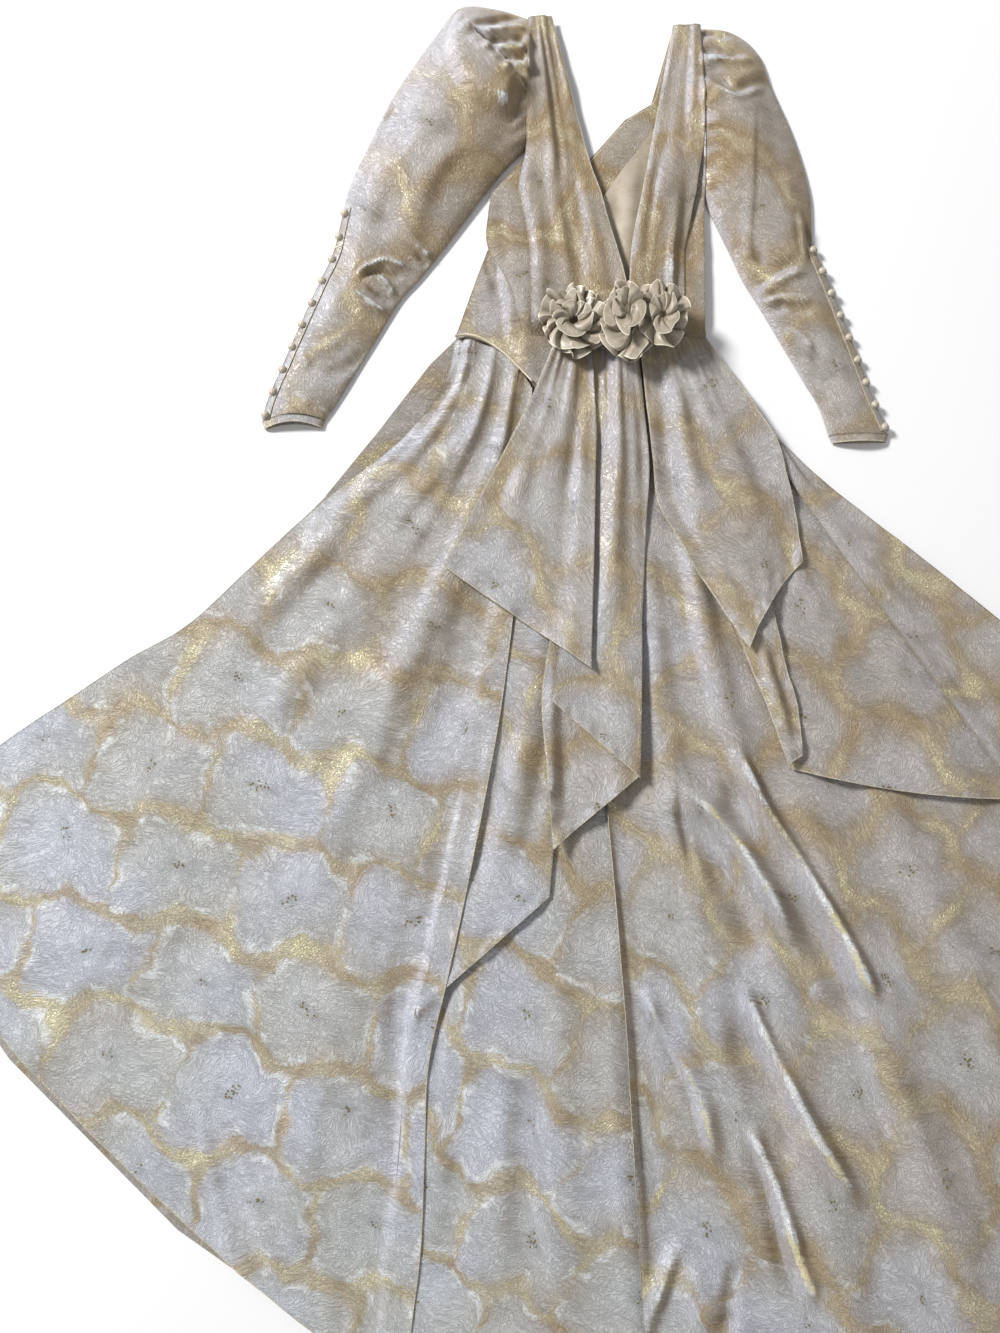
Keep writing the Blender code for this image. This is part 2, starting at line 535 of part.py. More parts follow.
def panel_ply(panel, laid):
    """A panel's net from its table of sections, lying on what is laid, with its folds."""
    rows = section_rows(panel.sections, panel.pitch)
    across = np.linspace(0, 1, panel.columns + 1)
    down = down_shares(rows)
    points = np.concatenate([row_points(row, across) for row in rows])
    width = panel.columns + 1
    triangles = []
    for r in range(len(rows) - 1):
        for c in range(panel.columns):
            a, b = r * width + c, r * width + c + 1
            triangles += [(a, a + width, b), (b, a + width, b + width)]
    last = (len(rows) - 1) * width
    rim = list(range(width)) + [r * width + panel.columns for r in range(1, len(rows))]
    rim += [last + c for c in range(panel.columns - 1, -1, -1)]
    rim += [r * width for r in range(len(rows) - 2, 0, -1)]
    trees = [o.tree for o in laid]
    beneath = np.array([(highest(trees, x, y) or -PLY_GAP) + PLY_GAP for x, y in points])
    stand = np.outer(rows[:, 5], np.clip(np.minimum(across, 1 - across) * 5, 0, 1)).ravel()
    folds = fold_height(across[None, :], down[:, None], panel.folds).ravel()
    return Ply(panel.name, points, np.array(triangles), rim[::-1], beneath + stand + folds,
               panel.wall, panel.colour)


def lay_panel(panel, laid):
    """Builds a panel, lays it on what is there, and adds it to that."""
    ply = panel_ply(panel, laid)
    if laid:
        ply.settle_on(laid)
        ply.bridge()
        ply.settle_on(laid)
    laid.append(Laid(ply.solid()))


def sleeve_ring(row, shares, folds_here, wall):
    """One section of a sleeve as an outer and an inner ring of points."""
    length = math.dist(row[:2], row[2:4])
    inset = 1.3 * wall / length
    middle = wall + SLEEVE_EDGE_AIR / 2
    outer, inner = [], []
    for share, extra in zip(shares, folds_here):
        arch = math.sin(math.pi * share) ** SLEEVE_ROUNDNESS if 0 < share < 1 else 0.0
        top = 2 * wall + SLEEVE_EDGE_AIR + row[5] * arch + extra * arch
        at_edge = share in (0.0, 1.0)
        outer.append((share, middle if at_edge else top))
        inner.append((min(max(share, inset), 1 - inset), middle if at_edge else top - wall))
    for share in SLEEVE_FLOOR_COLUMNS:
        outer.append((share, 0.0))
        inner.append((share, wall))
    rings = []
    for ring in (outer, inner):
        flat = row_points(row, np.array([share for share, _ in ring]))
        rings.append(np.column_stack([flat, [z for _, z in ring]]))
    return rings


def sleeve_solid(name, sections, folds, pitch, colour):
    """A sleeve lying flat: a tube of cloth, open at both ends, with a flat under side."""
    rows = section_rows(sections, pitch)
    rows[:, 4] *= -1
    down = down_shares(rows)
    across = np.array(SLEEVE_TOP_COLUMNS)
    outer, inner = [], []
    for row, share in zip(rows, down):
        ring_out, ring_in = sleeve_ring(row, across, fold_height(across, share, folds), WALL)
        outer.append(ring_out)
        inner.append(ring_in)
    count = len(outer[0])
    points = np.vstack(outer + inner)
    shift = len(rows) * count
    faces = []
    for r in range(len(rows) - 1):
        for c in range(count):
            n = (c + 1) % count
            a, b, below_a, below_b = r * count + c, r * count + n, (r + 1) * count + c, (r + 1) * count + n
            faces += [(a, b, below_b), (a, below_b, below_a)]
            faces += [(a + shift, below_b + shift, b + shift), (a + shift, below_a + shift, below_b + shift)]
    for r in (0, len(rows) - 1):
        for c in range(count):
            a, b = r * count + c, r * count + (c + 1) % count
            ends = [(a, a + shift, b), (b, a + shift, b + shift)]
            faces += ends if r == 0 else [face[::-1] for face in ends]
    return mesh_object(name, points, faces, colour)


def cuff_sections(last):
    """The cuff's two rings, carried on from a sleeve's last section."""
    left, right = np.array(last[:2]), np.array(last[2:4])
    along = (right - left) / np.linalg.norm(right - left)
    normal = np.array([along[1], -along[0]])
    middle, shoulder = (left + right) / 2, np.array([0.0, 0.2])
    if np.dot(normal, middle - shoulder) < 0:
        normal = -normal
    rings = []
    for out, taper in ((SEAM, 0.0), (SEAM + CUFF_DEPTH, CUFF_TAPER)):
        a = left + normal * out + along * taper
        b = right + normal * out - along * taper
        rings.append(Section(*a, *b, last.bow, last.air))
    return rings


def ruffle_ply(ruffle, laid):
    """A gathered round of satin as a net of rings about its middle, waved into petals."""
    steps = ruffle.petals * RUFFLE_STEPS_PER_PETAL
    points, height = [(ruffle.x, ruffle.y)], [0.3 * ruffle.rise]
    for ring in RUFFLE_RINGS[1:]:
        for k in range(steps):
            angle = 2 * math.pi * k / steps
            wave = 0.5 + 0.5 * math.cos(ruffle.petals * angle + ruffle.turn)
            reach = ring * (1 - 0.10 * (1 - wave) * ring)
            points.append((ruffle.x + ruffle.radius_x * reach * math.cos(angle),
                           ruffle.y + ruffle.radius_y * reach * math.sin(angle)))
            height.append(ruffle.rise * (0.3 + 0.7 * ring * wave))
    triangles = [(0, 1 + k, 1 + (k + 1) % steps) for k in range(steps)]
    for r in range(len(RUFFLE_RINGS) - 2):
        for k in range(steps):
            a, b = 1 + r * steps + k, 1 + r * steps + (k + 1) % steps
            triangles += [(a, a + steps, b), (b, a + steps, b + steps)]
    rim = [1 + (len(RUFFLE_RINGS) - 2) * steps + k for k in range(steps)]
    points = np.array(points)
    trees = [o.tree for o in laid]
    beneath = max((highest(trees, x, y) or 0) for x, y in points)
    under = beneath + PLY_GAP + np.array(height) - min(height)
    return Ply(ruffle.name, points, np.array(triangles), rim, under, SATIN_WALL, ROSE_SATIN)


def piping_solid(name, route, laid, colour):
    """Corded piping: a round tube along the seam, lying on what is there."""
    route = np.array(route)
    trees = [o.tree for o in laid]
    dense = np.vstack([route[i] + (route[i + 1] - route[i]) * s for i in range(len(route) - 1)
                       for s in (0.0, 0.5)] + [route[-1]])
    beside = np.array([(dx, dy) for dx in (-1, 0, 1) for dy in (-1, 0, 1)]) * 3 * PIPING_RADIUS
    tops = np.array([max((highest(trees, *(spot + step)) or 0.0) for step in beside) for spot in dense])
    tops = np.maximum(tops, (np.roll(tops, 1) + np.roll(tops, -1)) / 2)
    centres = np.column_stack([dense, tops + PLY_GAP + PIPING_RADIUS])
    points, faces = [], []
    for i, centre in enumerate(centres):
        ahead = centres[min(i + 1, len(centres) - 1)] - centres[max(i - 1, 0)]
        side = np.cross(ahead / np.linalg.norm(ahead), (0, 0, 1))
        side /= np.linalg.norm(side)
        for k in range(PIPING_SIDES):
            angle = 2 * math.pi * k / PIPING_SIDES
            out = math.cos(angle) * side + math.sin(angle) * np.array((0, 0, 1))
            points.append(centre + PIPING_RADIUS * out)
    for i in range(len(centres) - 1):
        for k in range(PIPING_SIDES):
            a, b = i * PIPING_SIDES + k, i * PIPING_SIDES + (k + 1) % PIPING_SIDES
            faces.append((a, b, b + PIPING_SIDES, a + PIPING_SIDES))
    faces += [tuple(range(PIPING_SIDES)), tuple(range((len(centres) - 1) * PIPING_SIDES, len(points)))]
    return mesh_object(name, points, faces, colour)


def button_solid(name, x, y, laid):
    """A small cloth-covered button, domed above and below, on what lies there."""
    trees = [o.tree for o in laid]
    ring = [(x + BUTTON_RADIUS * math.cos(k * math.pi / 4), y + BUTTON_RADIUS * math.sin(k * math.pi / 4))
            for k in range(8)]
    base = max((highest(trees, *spot) or 0.0) for spot in ring + [(x, y)]) + SEAM
    bpy.ops.mesh.primitive_uv_sphere_add(segments=8, ring_count=5, radius=1.0, location=(0, 0, 0))
    item = bpy.context.object
    item.name = item.data.name = name
    for vertex in item.data.vertices:
        vertex.co = Vector((x + vertex.co.x * BUTTON_RADIUS, y + vertex.co.y * BUTTON_RADIUS,
                            base + (vertex.co.z + 1) * BUTTON_HEIGHT / 2))
    item.data.shade_smooth()
    item.data.materials.append(cloth_material(name, COVERED))
    return item


def button_places(placket, count):
    """Evenly spaced places down a placket, near its outer edge."""
    table = np.array(placket.sections, float)
    inset = BUTTON_INSET if table[0][0] < 0 else 1 - BUTTON_INSET
    line = table[:, :2] * (1 - inset) + table[:, 2:4] * inset
    steps = np.linalg.norm(np.diff(line, axis=0), axis=1)
    total = np.concatenate([[0], np.cumsum(steps)])
    marks = np.linspace(0.02, 0.98, count) * total[-1]
    return np.column_stack([np.interp(marks, total, line[:, axis]) for axis in (0, 1)])


def centre_on_floor():
    """Moves every piece so that the gown's box stands centred on the origin."""
    items = [o for o in bpy.data.objects if o.type == "MESH"]
    points = np.vstack([[tuple(v.co) for v in o.data.vertices] for o in items])
    low, high = points.min(axis=0), points.max(axis=0)
    shift = Vector((-(low[0] + high[0]) / 2, -(low[1] + high[1]) / 2, -low[2]))
    for item in items:
        for vertex in item.data.vertices:
            vertex.co += shift
        item.data.update()


def build_gown():
    """Lays the gown down piece by piece."""
    clear_scene()
    laid = []
    for panel in UNDER_SIDE:
        laid.append(Laid(panel_ply(panel, []).solid()))
    for name, sections, folds in (("left", SLEEVE_LEFT, PUFF_FOLDS), ("right", SLEEVE_RIGHT, PUFF_FOLDS)):
        laid.append(Laid(sleeve_solid("sleeve_" + name, sections, folds, 0.2, BROCADE)))
        laid.append(Laid(sleeve_solid("cuff_" + name, cuff_sections(sections[-1]), [], 0.2, BROCADE)))
    for panel in LAID_ON:
        lay_panel(panel, laid)
    lay_panel(SLEEVE_FLAP, laid)
    rows = (PLACKET_LEFT, BUTTONS_LEFT, "left"), (PLACKET_RIGHT, BUTTONS_RIGHT, "right")
    for placket, count, side in rows:
        lay_panel(placket, laid)
        for number, (x, y) in enumerate(button_places(placket, count), start=1):
            button_solid(f"button_{side}_{number:02d}", x, y, laid)
    laid.append(Laid(piping_solid("hip_piping_left", PIPING_LEFT, laid, SATIN)))
    for ruffle in ROSETTES:
        ply = ruffle_ply(ruffle, laid)
        ply.settle_on(laid)
        laid.append(Laid(ply.solid()))
    centre_on_floor()


build_gown()
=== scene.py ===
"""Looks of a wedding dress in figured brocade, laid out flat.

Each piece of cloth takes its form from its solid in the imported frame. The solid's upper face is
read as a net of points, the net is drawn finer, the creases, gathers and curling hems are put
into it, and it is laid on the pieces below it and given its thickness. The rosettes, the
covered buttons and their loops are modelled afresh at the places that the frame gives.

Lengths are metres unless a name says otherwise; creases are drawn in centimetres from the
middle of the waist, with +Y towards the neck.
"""

from __future__ import annotations

import json
import logging
import math
import random
from dataclasses import dataclass, field
from enum import Enum

import bmesh
import bpy
import numpy as np
from mathutils import Matrix, Vector
from mathutils.bvhtree import BVHTree

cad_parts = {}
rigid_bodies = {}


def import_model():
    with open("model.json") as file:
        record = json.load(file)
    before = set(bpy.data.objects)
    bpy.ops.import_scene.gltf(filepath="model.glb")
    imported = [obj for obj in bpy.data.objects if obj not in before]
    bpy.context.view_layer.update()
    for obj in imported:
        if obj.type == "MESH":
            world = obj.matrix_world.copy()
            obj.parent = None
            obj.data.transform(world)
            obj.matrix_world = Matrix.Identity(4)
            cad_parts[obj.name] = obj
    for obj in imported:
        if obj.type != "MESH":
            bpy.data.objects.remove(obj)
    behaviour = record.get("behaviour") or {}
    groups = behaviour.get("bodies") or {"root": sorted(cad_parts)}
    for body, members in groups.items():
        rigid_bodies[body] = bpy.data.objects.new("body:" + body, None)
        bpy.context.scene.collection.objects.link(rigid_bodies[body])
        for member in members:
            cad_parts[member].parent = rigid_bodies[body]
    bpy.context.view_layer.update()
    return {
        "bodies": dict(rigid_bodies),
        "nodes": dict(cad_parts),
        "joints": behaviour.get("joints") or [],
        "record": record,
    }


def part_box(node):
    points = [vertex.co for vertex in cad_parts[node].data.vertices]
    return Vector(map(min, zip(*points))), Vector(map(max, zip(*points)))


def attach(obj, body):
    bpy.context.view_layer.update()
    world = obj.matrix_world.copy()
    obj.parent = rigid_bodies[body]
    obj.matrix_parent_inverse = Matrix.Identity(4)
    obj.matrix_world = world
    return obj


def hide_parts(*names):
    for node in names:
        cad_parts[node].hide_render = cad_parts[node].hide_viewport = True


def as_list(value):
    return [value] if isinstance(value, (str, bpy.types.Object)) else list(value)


LOG = logging.getLogger("gown")

MM = 0.001
CM = 0.01
WALL = 1.2 * MM  # brocade and its backing
SATIN_WALL = 0.8 * MM
PLY_GAP = 0.5 * MM  # air between two layers that touch
FLOOR_GAP = 0.1 * MM  # between the lowest cloth and the floor
ABOVE = 1.0  # a height well over the gown, where the feelers start
WELD = 0.01 * MM  # corners closer than this are one
UPWARD = 0.02  # least upward lean of an upper face
LEAN_TO = (0.80, -0.60)  # the way the painted tan shade falls: on slopes facing right and down the gown, away from the key light
LEAN_GAIN = 0.95  # how fast the painted shade grows as the cloth leans
SHADED = 0.72  # lean and hollow of a layer that lies under the others
HOLLOW_REACH = 18 * MM  # how far round a point its hollow is judged
HOLLOW_DEPTH = 4.5 * MM  # a hollow this deep gets the darkest painted shade
WAIST_FROM_CORNER = (0.2105, 0.0332)  # from the low corner of the far left bodice
FLOOR_SHARES = (0.95, 0.66, 0.34, 0.05)  # columns along the floor that close a tube
TUBE_AIR = 0.9 * MM  # least room inside a tube
SHOULDER = 1.3  # columns over which a tube's folds die out at its sides
LIFT_PASSES = 10  # how far a lift over a lower piece is eased out
SINK_REACH = 3 * CM  # how far in an edge begins to sink into the cloth below
SINK_DEPTH = 0.4 * MM
HEM_REACH = 2.6 * CM  # how far in a hem begins to curl
TAKE_UP = 1.6  # cloth that a fold takes up, as a share of its height
RUMPLE_SIZES = (0.13, 0.045)  # metres, the broad and the small unevenness
CREASE_STEPS = 7  # how many spans a crease has between two of its points
OUTER_SHARE = 0.6  # of a tube's columns, those that face up
SMOOTH_BELOW = 55  # degrees, under which a corner in the cloth is drawn smooth
FAR = 1.0  # stands for "no such edge near" in an edge distance


# ------------------------------------------------------------------------------- options
class Side(Enum):
    """An edge of a piece of cloth, as the net runs."""

    TOP = "top"
    HEM = "hem"
    LEFT = "left"
    RIGHT = "right"


class Held(Enum):
    """How a sheet is held, in the words that the frame knows."""

    LAID = "laid"
    GATHERED = "gathered"
    FOLDED = "folded"
    DRAPED = "draped"


def working(operation: str, kind: str = "Math", out: int = 0) -> tuple:
    """Describe a node that works with up to three numbers or vectors."""
    return kind, out, (0, 1, 2), {"operation": operation}


class Step(Enum):
    """A node as it is used here: its type, the output read, its inputs in order and its settings."""

    PLUS = working("ADD")
    MINUS = working("SUBTRACT")
    TIMES = working("MULTIPLY")
    OVER = working("DIVIDE")
    TIMES_PLUS = working("MULTIPLY_ADD")
    SINE = working("SINE")
    WHOLE = working("FLOOR")
    REST = working("FRACT")
    SIZE = working("ABSOLUTE")
    SOFT_LEAST = working("SMOOTH_MIN")
    V_PLUS = working("ADD", "VectorMath")
    V_MINUS = working("SUBTRACT", "VectorMath")
    V_TIMES = working("MULTIPLY", "VectorMath")
    V_TIMES_PLUS = working("MULTIPLY_ADD", "VectorMath")
    V_UNIT = working("NORMALIZE", "VectorMath")
    V_LENGTH = working("LENGTH", "VectorMath", 1)
    V_DOT = working("DOT_PRODUCT", "VectorMath", 1)
    V_APART = working("DISTANCE", "VectorMath", 1)
    RANGE = "MapRange", 0, (0, 1, 2, 3, 4), {}
    EASE = "MapRange", 0, (0, 1, 2), {"interpolation_type": "SMOOTHSTEP"}
    MIX = "Mix", 2, (0, 6, 7), {"data_type": "RGBA"}
    PART = "SeparateXYZ", 0, (0,), {}
    JOIN = "CombineXYZ", 0, (0, 1, 2), {}
    MAP = "UVMap", 0, (), {}
    PLACE = "TexCoord", 3, (), {}
    NOISE = "TexNoise", 0, ("Vector", "Scale", "Detail", "Distortion"), {}
    SPECKS = "TexVoronoi", 0, ("Vector", "Scale", "Randomness"), {}
    CHANCE = "TexWhiteNoise", 0, ("Vector",), {"noise_dimensions": "2D"}
    BUMP = "Bump", 0, ("Height", "Distance", "Strength"), {}
    SURFACE = "BsdfPrincipled", 0, (
        "Base Color", "Roughness", "Normal", "Sheen Weight", "Sheen Roughness", "IOR", "Metallic"), {}
    MATT = "BsdfPrincipled", 0, ("Base Color", "Roughness", "Specular IOR Level"), {}
    OUT = "OutputMaterial", 0, ("Surface",), {}


# ------------------------------------------------------------------------------- small helpers
def linear(colour: str) -> tuple[float, float, float, float]:
    """Turn an sRGB hex colour into the linear one that shaders take, with an alpha of 1.

    Args:
        colour: six hex digits.

    Returns:
        Red, green, blue and alpha.
    """
    parts = []
    for start in (0, 2, 4):
        part = int(colour[start:start + 2], 16) / 255
        parts.append(part / 12.92 if part <= 0.04045 else ((part + 0.055) / 1.055) ** 2.4)
    return parts[0], parts[1], parts[2], 1.0


def smoothstep(value: np.ndarray) -> np.ndarray:
    """Ease a value from 0 to 1."""
    value = np.clip(value, 0.0, 1.0)
    return value * value * (3 - 2 * value)


def spline(points: np.ndarray, places: np.ndarray, closed: bool = False) -> np.ndarray:
    """Read a smooth curve through points at fractional places along the first axis.

    Args:
        points: the points, one row each.
        places: where to read, counted in rows.
        closed: whether the last row meets the first.

    Returns:
        One row for each place.
    """
    count = len(points)
    if not closed:
        before = 2 * points[:1] - points[1:2]
        after = 2 * points[-1:] - points[-2:-1]
        points = np.concatenate([before, points, after])
        places = np.clip(places, 0, count - 1)
        base = np.minimum(places.astype(int), count - 2)
        corners = [points[base + step] for step in range(4)]
    else:
        base = places.astype(int)
        corners = [points[(base + step) % count] for step in (-1, 0, 1, 2)]
    t = (places - base).reshape((-1,) + (1,) * (points.ndim - 1))
    first, second, third, fourth = corners
    return 0.5 * (
        2 * second
        + (third - first) * t
        + (2 * first - 5 * second + 4 * third - fourth) * t ** 2
        + (3 * second - first - 3 * third + fourth) * t ** 3
    )


def ripple(across: np.ndarray, along: np.ndarray, size: float, seed: int) -> np.ndarray:
    """Make a soft uneven field out of a few crossing waves.

    Args:
        across: first coordinate.
        along: second coordinate.
        size: the usual length of a wave.
        seed: which field to make.

    Returns:
        Values of about -1.5 to 1.5.
    """
    waves = 7
    draw = np.random.default_rng(seed)
    total = np.zeros_like(across)
    for _ in range(waves):
        heading = draw.uniform(0, 2 * math.pi)
        pitch = 2 * math.pi / size * draw.uniform(0.6, 1.5)
        run = across * math.cos(heading) + along * math.sin(heading)
        total += np.sin(pitch * run + draw.uniform(0, 2 * math.pi))
    return total / math.sqrt(waves)


def soften(values: np.ndarray) -> np.ndarray:
    """Average each value of a net with its neighbours."""
    wide = np.pad(values, 1, mode="edge")
    return (wide[:-2, 1:-1] + wide[2:, 1:-1] + wide[1:-1, :-2] + wide[1:-1, 2:] + 2 * values) / 6


def make_object(name: str, points: np.ndarray, faces: list,
                maps: dict[str, np.ndarray]) -> bpy.types.Object:
    """Make a mesh object with UV maps that are given point by point.

    Args:
        name: the piece's name.
        points: one row of x, y, z for each point.
        faces: tuples of point numbers.
        maps: for each UV map its two values at each point.

    Returns:
        The new object, active and alone selected.
    """
    mesh = bpy.data.meshes.new(name)
    mesh.from_pydata([tuple(map(float, p)) for p in points], [], faces)
    corners = np.empty(len(mesh.loops), dtype=np.int32)
    mesh.loops.foreach_get("vertex_index", corners)
    for title, values in maps.items():
        layer = mesh.uv_layers.new(name=title)
        layer.data.foreach_set("uv", values[corners].astype(np.float32).ravel())
    piece = bpy.data.objects.new(name, mesh)
    bpy.context.scene.collection.objects.link(piece)
    make_active(piece)
    return piece


def make_active(piece: bpy.types.Object) -> None:
    """Select one object alone and make it active."""
    for other in bpy.context.selected_objects:
        other.select_set(False)
    piece.select_set(True)
    bpy.context.view_layer.objects.active = piece


def apply_modifiers(piece: bpy.types.Object) -> None:
    """Apply every modifier of a piece, in order."""
    make_active(piece)
    for name in [modifier.name for modifier in piece.modifiers]:
        bpy.ops.object.modifier_apply(modifier=name)


# ------------------------------------------------------------------------------- finishes
@dataclass
class Recipe:
    """A material under construction and its node tree."""

    name: str
    material: bpy.types.Material = field(init=False)

    def __post_init__(self) -> None:
        """Start from an empty tree."""
        self.material = bpy.data.materials.new(self.name)
        self.material.use_nodes = True
        self.material.node_tree.nodes.clear()

    def add(self, step: Step, *values: object, out: int | None = None,
            **settings: object) -> bpy.types.NodeSocket:
        """Add a node with its settings and links.

        Args:
            step: which node.
            values: its inputs in order, each an output, a hex colour, a number or a vector.
            out: the output to hand back, where it isn't the usual one.
            settings: more of the node's own properties.

        Returns:
            The output, or the node's first input where it has no output.
        """
        kind, usual, slots, fixed = step.value
        tree = self.material.node_tree
        node = tree.nodes.new("ShaderNode" + kind)
        for key, value in {**fixed, **settings}.items():
            setattr(node, key, value)
        for slot, value in zip(slots, values):
            if isinstance(value, bpy.types.NodeSocket):
                tree.links.new(value, node.inputs[slot])
            else:
                node.inputs[slot].default_value = linear(value) if isinstance(value, str) else value
        return node.outputs[usual if out is None else out] if len(node.outputs) else node.inputs[0]

    def close(self, surface: bpy.types.NodeSocket) -> bpy.types.Material:
        """Link the surface shader to the output and hand back the material."""
        self.add(Step.OUT, surface)
        return self.material


@dataclass(frozen=True)
class Brocade:
    """Figured brocade: a feathered satin ground crazed with bands of antique metal thread.

    Light and shade are painted into its colour: a tan shade where the cloth leans away from the
    key light, to the right or down, a darker shade in the hollows of its folds, a lilac-silver
    highlight where it leans to the light, a pale glare on sharp crests, and a warmer, darker tone
    towards the bodice and the right. Satin floats give a soft sheen.
    """

    repeat_across: float = 164 * MM  # one cell along its row
    repeat_down: float = 135 * MM  # from one row to the next
    drop: float = 0.44  # how far each row is set along, as a share of a cell
    band: float = 7.0 * MM  # half the width of a band between rows
    divide: float = 1.6 * MM  # half the width of the line between two cells of a row
    wave: float = 13 * MM  # how far a row rises and falls along its length
    rounding: float = 34 * MM  # how softly a cell's corners are rounded
    lilac: str = "BDC1CC"
    sage: str = "BABCB8"
    taupe: str = "B9B4B0"
    # warm and warm_light: painted light, the ground's warmer, darker tone towards the bodice and the right
    warm: str = "ADA6A0"
    cool_light: str = "DADEE4"
    warm_light: str = "D0CBC4"
    lean_shade: str = "957D58"  # painted shade: the tan that shows on slopes leaning away from the key light
    gleam: str = "EEF1F3"  # painted highlight: a glare along a sharp crest
    sheen: str = "CDCEDC"  # painted highlight, lilac-silver, where the cloth leans to the key light
    # hollow: painted shade in the hollows of folds; the same dark colour draws the seam lines
    hollow: str = "715F46"
    old_gold: str = "B7A98C"
    brown_gold: str = "A99676"
    tan: str = "9F8864"
    # glitter: pale gold of the metal specks, partly the thread's own colour and partly painted glint
    glitter: str = "E6DEB4"
    flank: str = "E6EBEC"
    knot: str = "8A7C55"
    hem_light: str = "C9C0AE"

    def warped(self, make: Recipe, cloth: bpy.types.NodeSocket, size: float,
               shift: float) -> bpy.types.NodeSocket:
        """Shift the cloth's coordinates by a noise of a given size and strength."""
        noise = make.add(Step.NOISE, cloth, 1 / size, 1.0, out=1)
        noise = make.add(Step.V_MINUS, noise, (0.5, 0.5, 0.5))
        return make.add(Step.V_TIMES_PLUS, noise, (shift, shift, 0.0), cloth)

    def build(self) -> bpy.types.Material:
        """Make the material.

        Returns:
            The brocade, which reads the maps "cloth" (metres along the weave), "edges" (metres
            to the nearest hem and seam) and the map of painted light (lean and hollow, 0 to 1).
        """
        make = Recipe("figured metal-thread brocade")
        add = make.add
        cloth = add(Step.MAP, uv_map="cloth")
        flat = self.warped(make, cloth, 95 * MM, 62 * MM)
        flat = self.warped(make, flat, 24 * MM, 15 * MM)
        fine = self.warped(make, flat, 6 * MM, 5.5 * MM)
        u = add(Step.PART, flat)
        v = add(Step.PART, flat, out=1)

        # Rows rise and fall once in every cell, set along with the half drop.
        turns_v = add(Step.TIMES, v, self.drop / self.repeat_down)
        turns = add(Step.TIMES_PLUS, u, 1 / self.repeat_across, turns_v)
        angle = add(Step.TIMES, turns, 2 * math.pi)
        wave = add(Step.SINE, angle)
        v_wavy = add(Step.TIMES_PLUS, wave, self.wave, v)
        down = add(Step.OVER, v_wavy, self.repeat_down)
        row = add(Step.WHOLE, down)
        cells = add(Step.OVER, u, self.repeat_across)
        along = add(Step.TIMES_PLUS, row, self.drop, cells)
        column = add(Step.WHOLE, along)

        # From the middle of the cell, in metres.
        offsets = []
        for place, repeat in ((along, self.repeat_across), (down, self.repeat_down)):
            part = add(Step.MINUS, add(Step.REST, place), 0.5)
            offsets.append(add(Step.TIMES, part, repeat))
        middle = add(Step.JOIN, offsets[0], offsets[1])
        radius = add(Step.V_LENGTH, middle)

        # How far a point is from the nearest band: less than nothing inside it.
        swell = add(Step.NOISE, cloth, 1 / (60 * MM), 2.0)
        swell = add(Step.RANGE, swell, 0.3, 0.7, -6.0 * MM, 5.0 * MM)
        from_divide = add(Step.SIZE, offsets[0])
        from_divide = add(Step.MINUS, self.repeat_across / 2 - self.divide, from_divide)
        from_band = add(Step.MINUS, self.repeat_down / 2 - self.band, add(Step.SIZE, offsets[1]))
        from_band = add(Step.PLUS, from_band, swell)
        from_divide = add(Step.TIMES_PLUS, swell, 1.4, from_divide)
        clear = add(Step.SOFT_LEAST, from_divide, from_band, self.rounding)
        fray = add(Step.NOISE, fine, 1 / (5 * MM), 3.0)
        fray = add(Step.RANGE, fray, 0.25, 0.75, -5.0 * MM, 5.0 * MM)
        frayed = add(Step.PLUS, clear, fray)
        gold = add(Step.EASE, frayed, 7.0 * MM, -4.0 * MM)

        # Painted light: the ground runs from cool at the hem to warmer and darker at the bodice and
        # towards the right, as the light falls there; the cloudy patches are uneven tone.
        place = add(Step.PLACE)
        warm = add(Step.V_DOT, place, (0.8, 0.65, 0.0))
        cloudy = add(Step.RANGE, add(Step.NOISE, place, 4.0, 1.0), 0.3, 0.7, -0.22, 0.22)
        warm = add(Step.PLUS, add(Step.RANGE, warm, -0.7, 0.5, 0.0, 1.0), cloudy, use_clamp=True)
        # breast: a patch round the bust where painted shade darkens the bodice towards tan
        breast = add(Step.EASE, add(Step.V_APART, place, (0.09, 0.76, 0.0)), 0.34, 0.14)

        # Where the ground meets a band it often turns silver white, in ragged patches.
        patch = add(Step.TIMES_PLUS, warm, -0.14, add(Step.NOISE, flat, 1 / (34 * MM), 2.0))
        patch = add(Step.EASE, patch, 0.45, 0.60)
        reach = add(Step.EASE, frayed, 14.0 * MM, 5.0 * MM)
        silver = add(Step.TIMES, patch, reach)
        plenty = add(Step.RANGE, warm, 0.0, 1.0, 0.80, 0.22)
        silver = add(Step.TIMES, silver, plenty)

        # Feathered ground: short curled leaves that fan out from the cell's middle.
        heading = add(Step.V_TIMES, add(Step.V_UNIT, middle), (5.0, 6.5, 0.0))
        ring = add(Step.TIMES_PLUS, radius, 1 / (14 * MM), column)
        fan_place = add(Step.V_PLUS, heading, add(Step.JOIN, 0.0, 0.0, ring))
        fan = add(Step.NOISE, fan_place, 1.0, 2.0, 1.6)
        comb_place = add(Step.V_TIMES, fine, (1 / (17 * MM), 1 / (6 * MM), 1.0))
        comb = add(Step.NOISE, comb_place, 1.0, 2.0, 2.2)
        leaf = add(Step.MINUS, add(Step.PLUS, fan, comb), 1.0)
        leaf = add(Step.SIZE, leaf)
        vein = add(Step.EASE, leaf, 0.050, 0.012)
        body = add(Step.EASE, leaf, 0.02, 0.20)

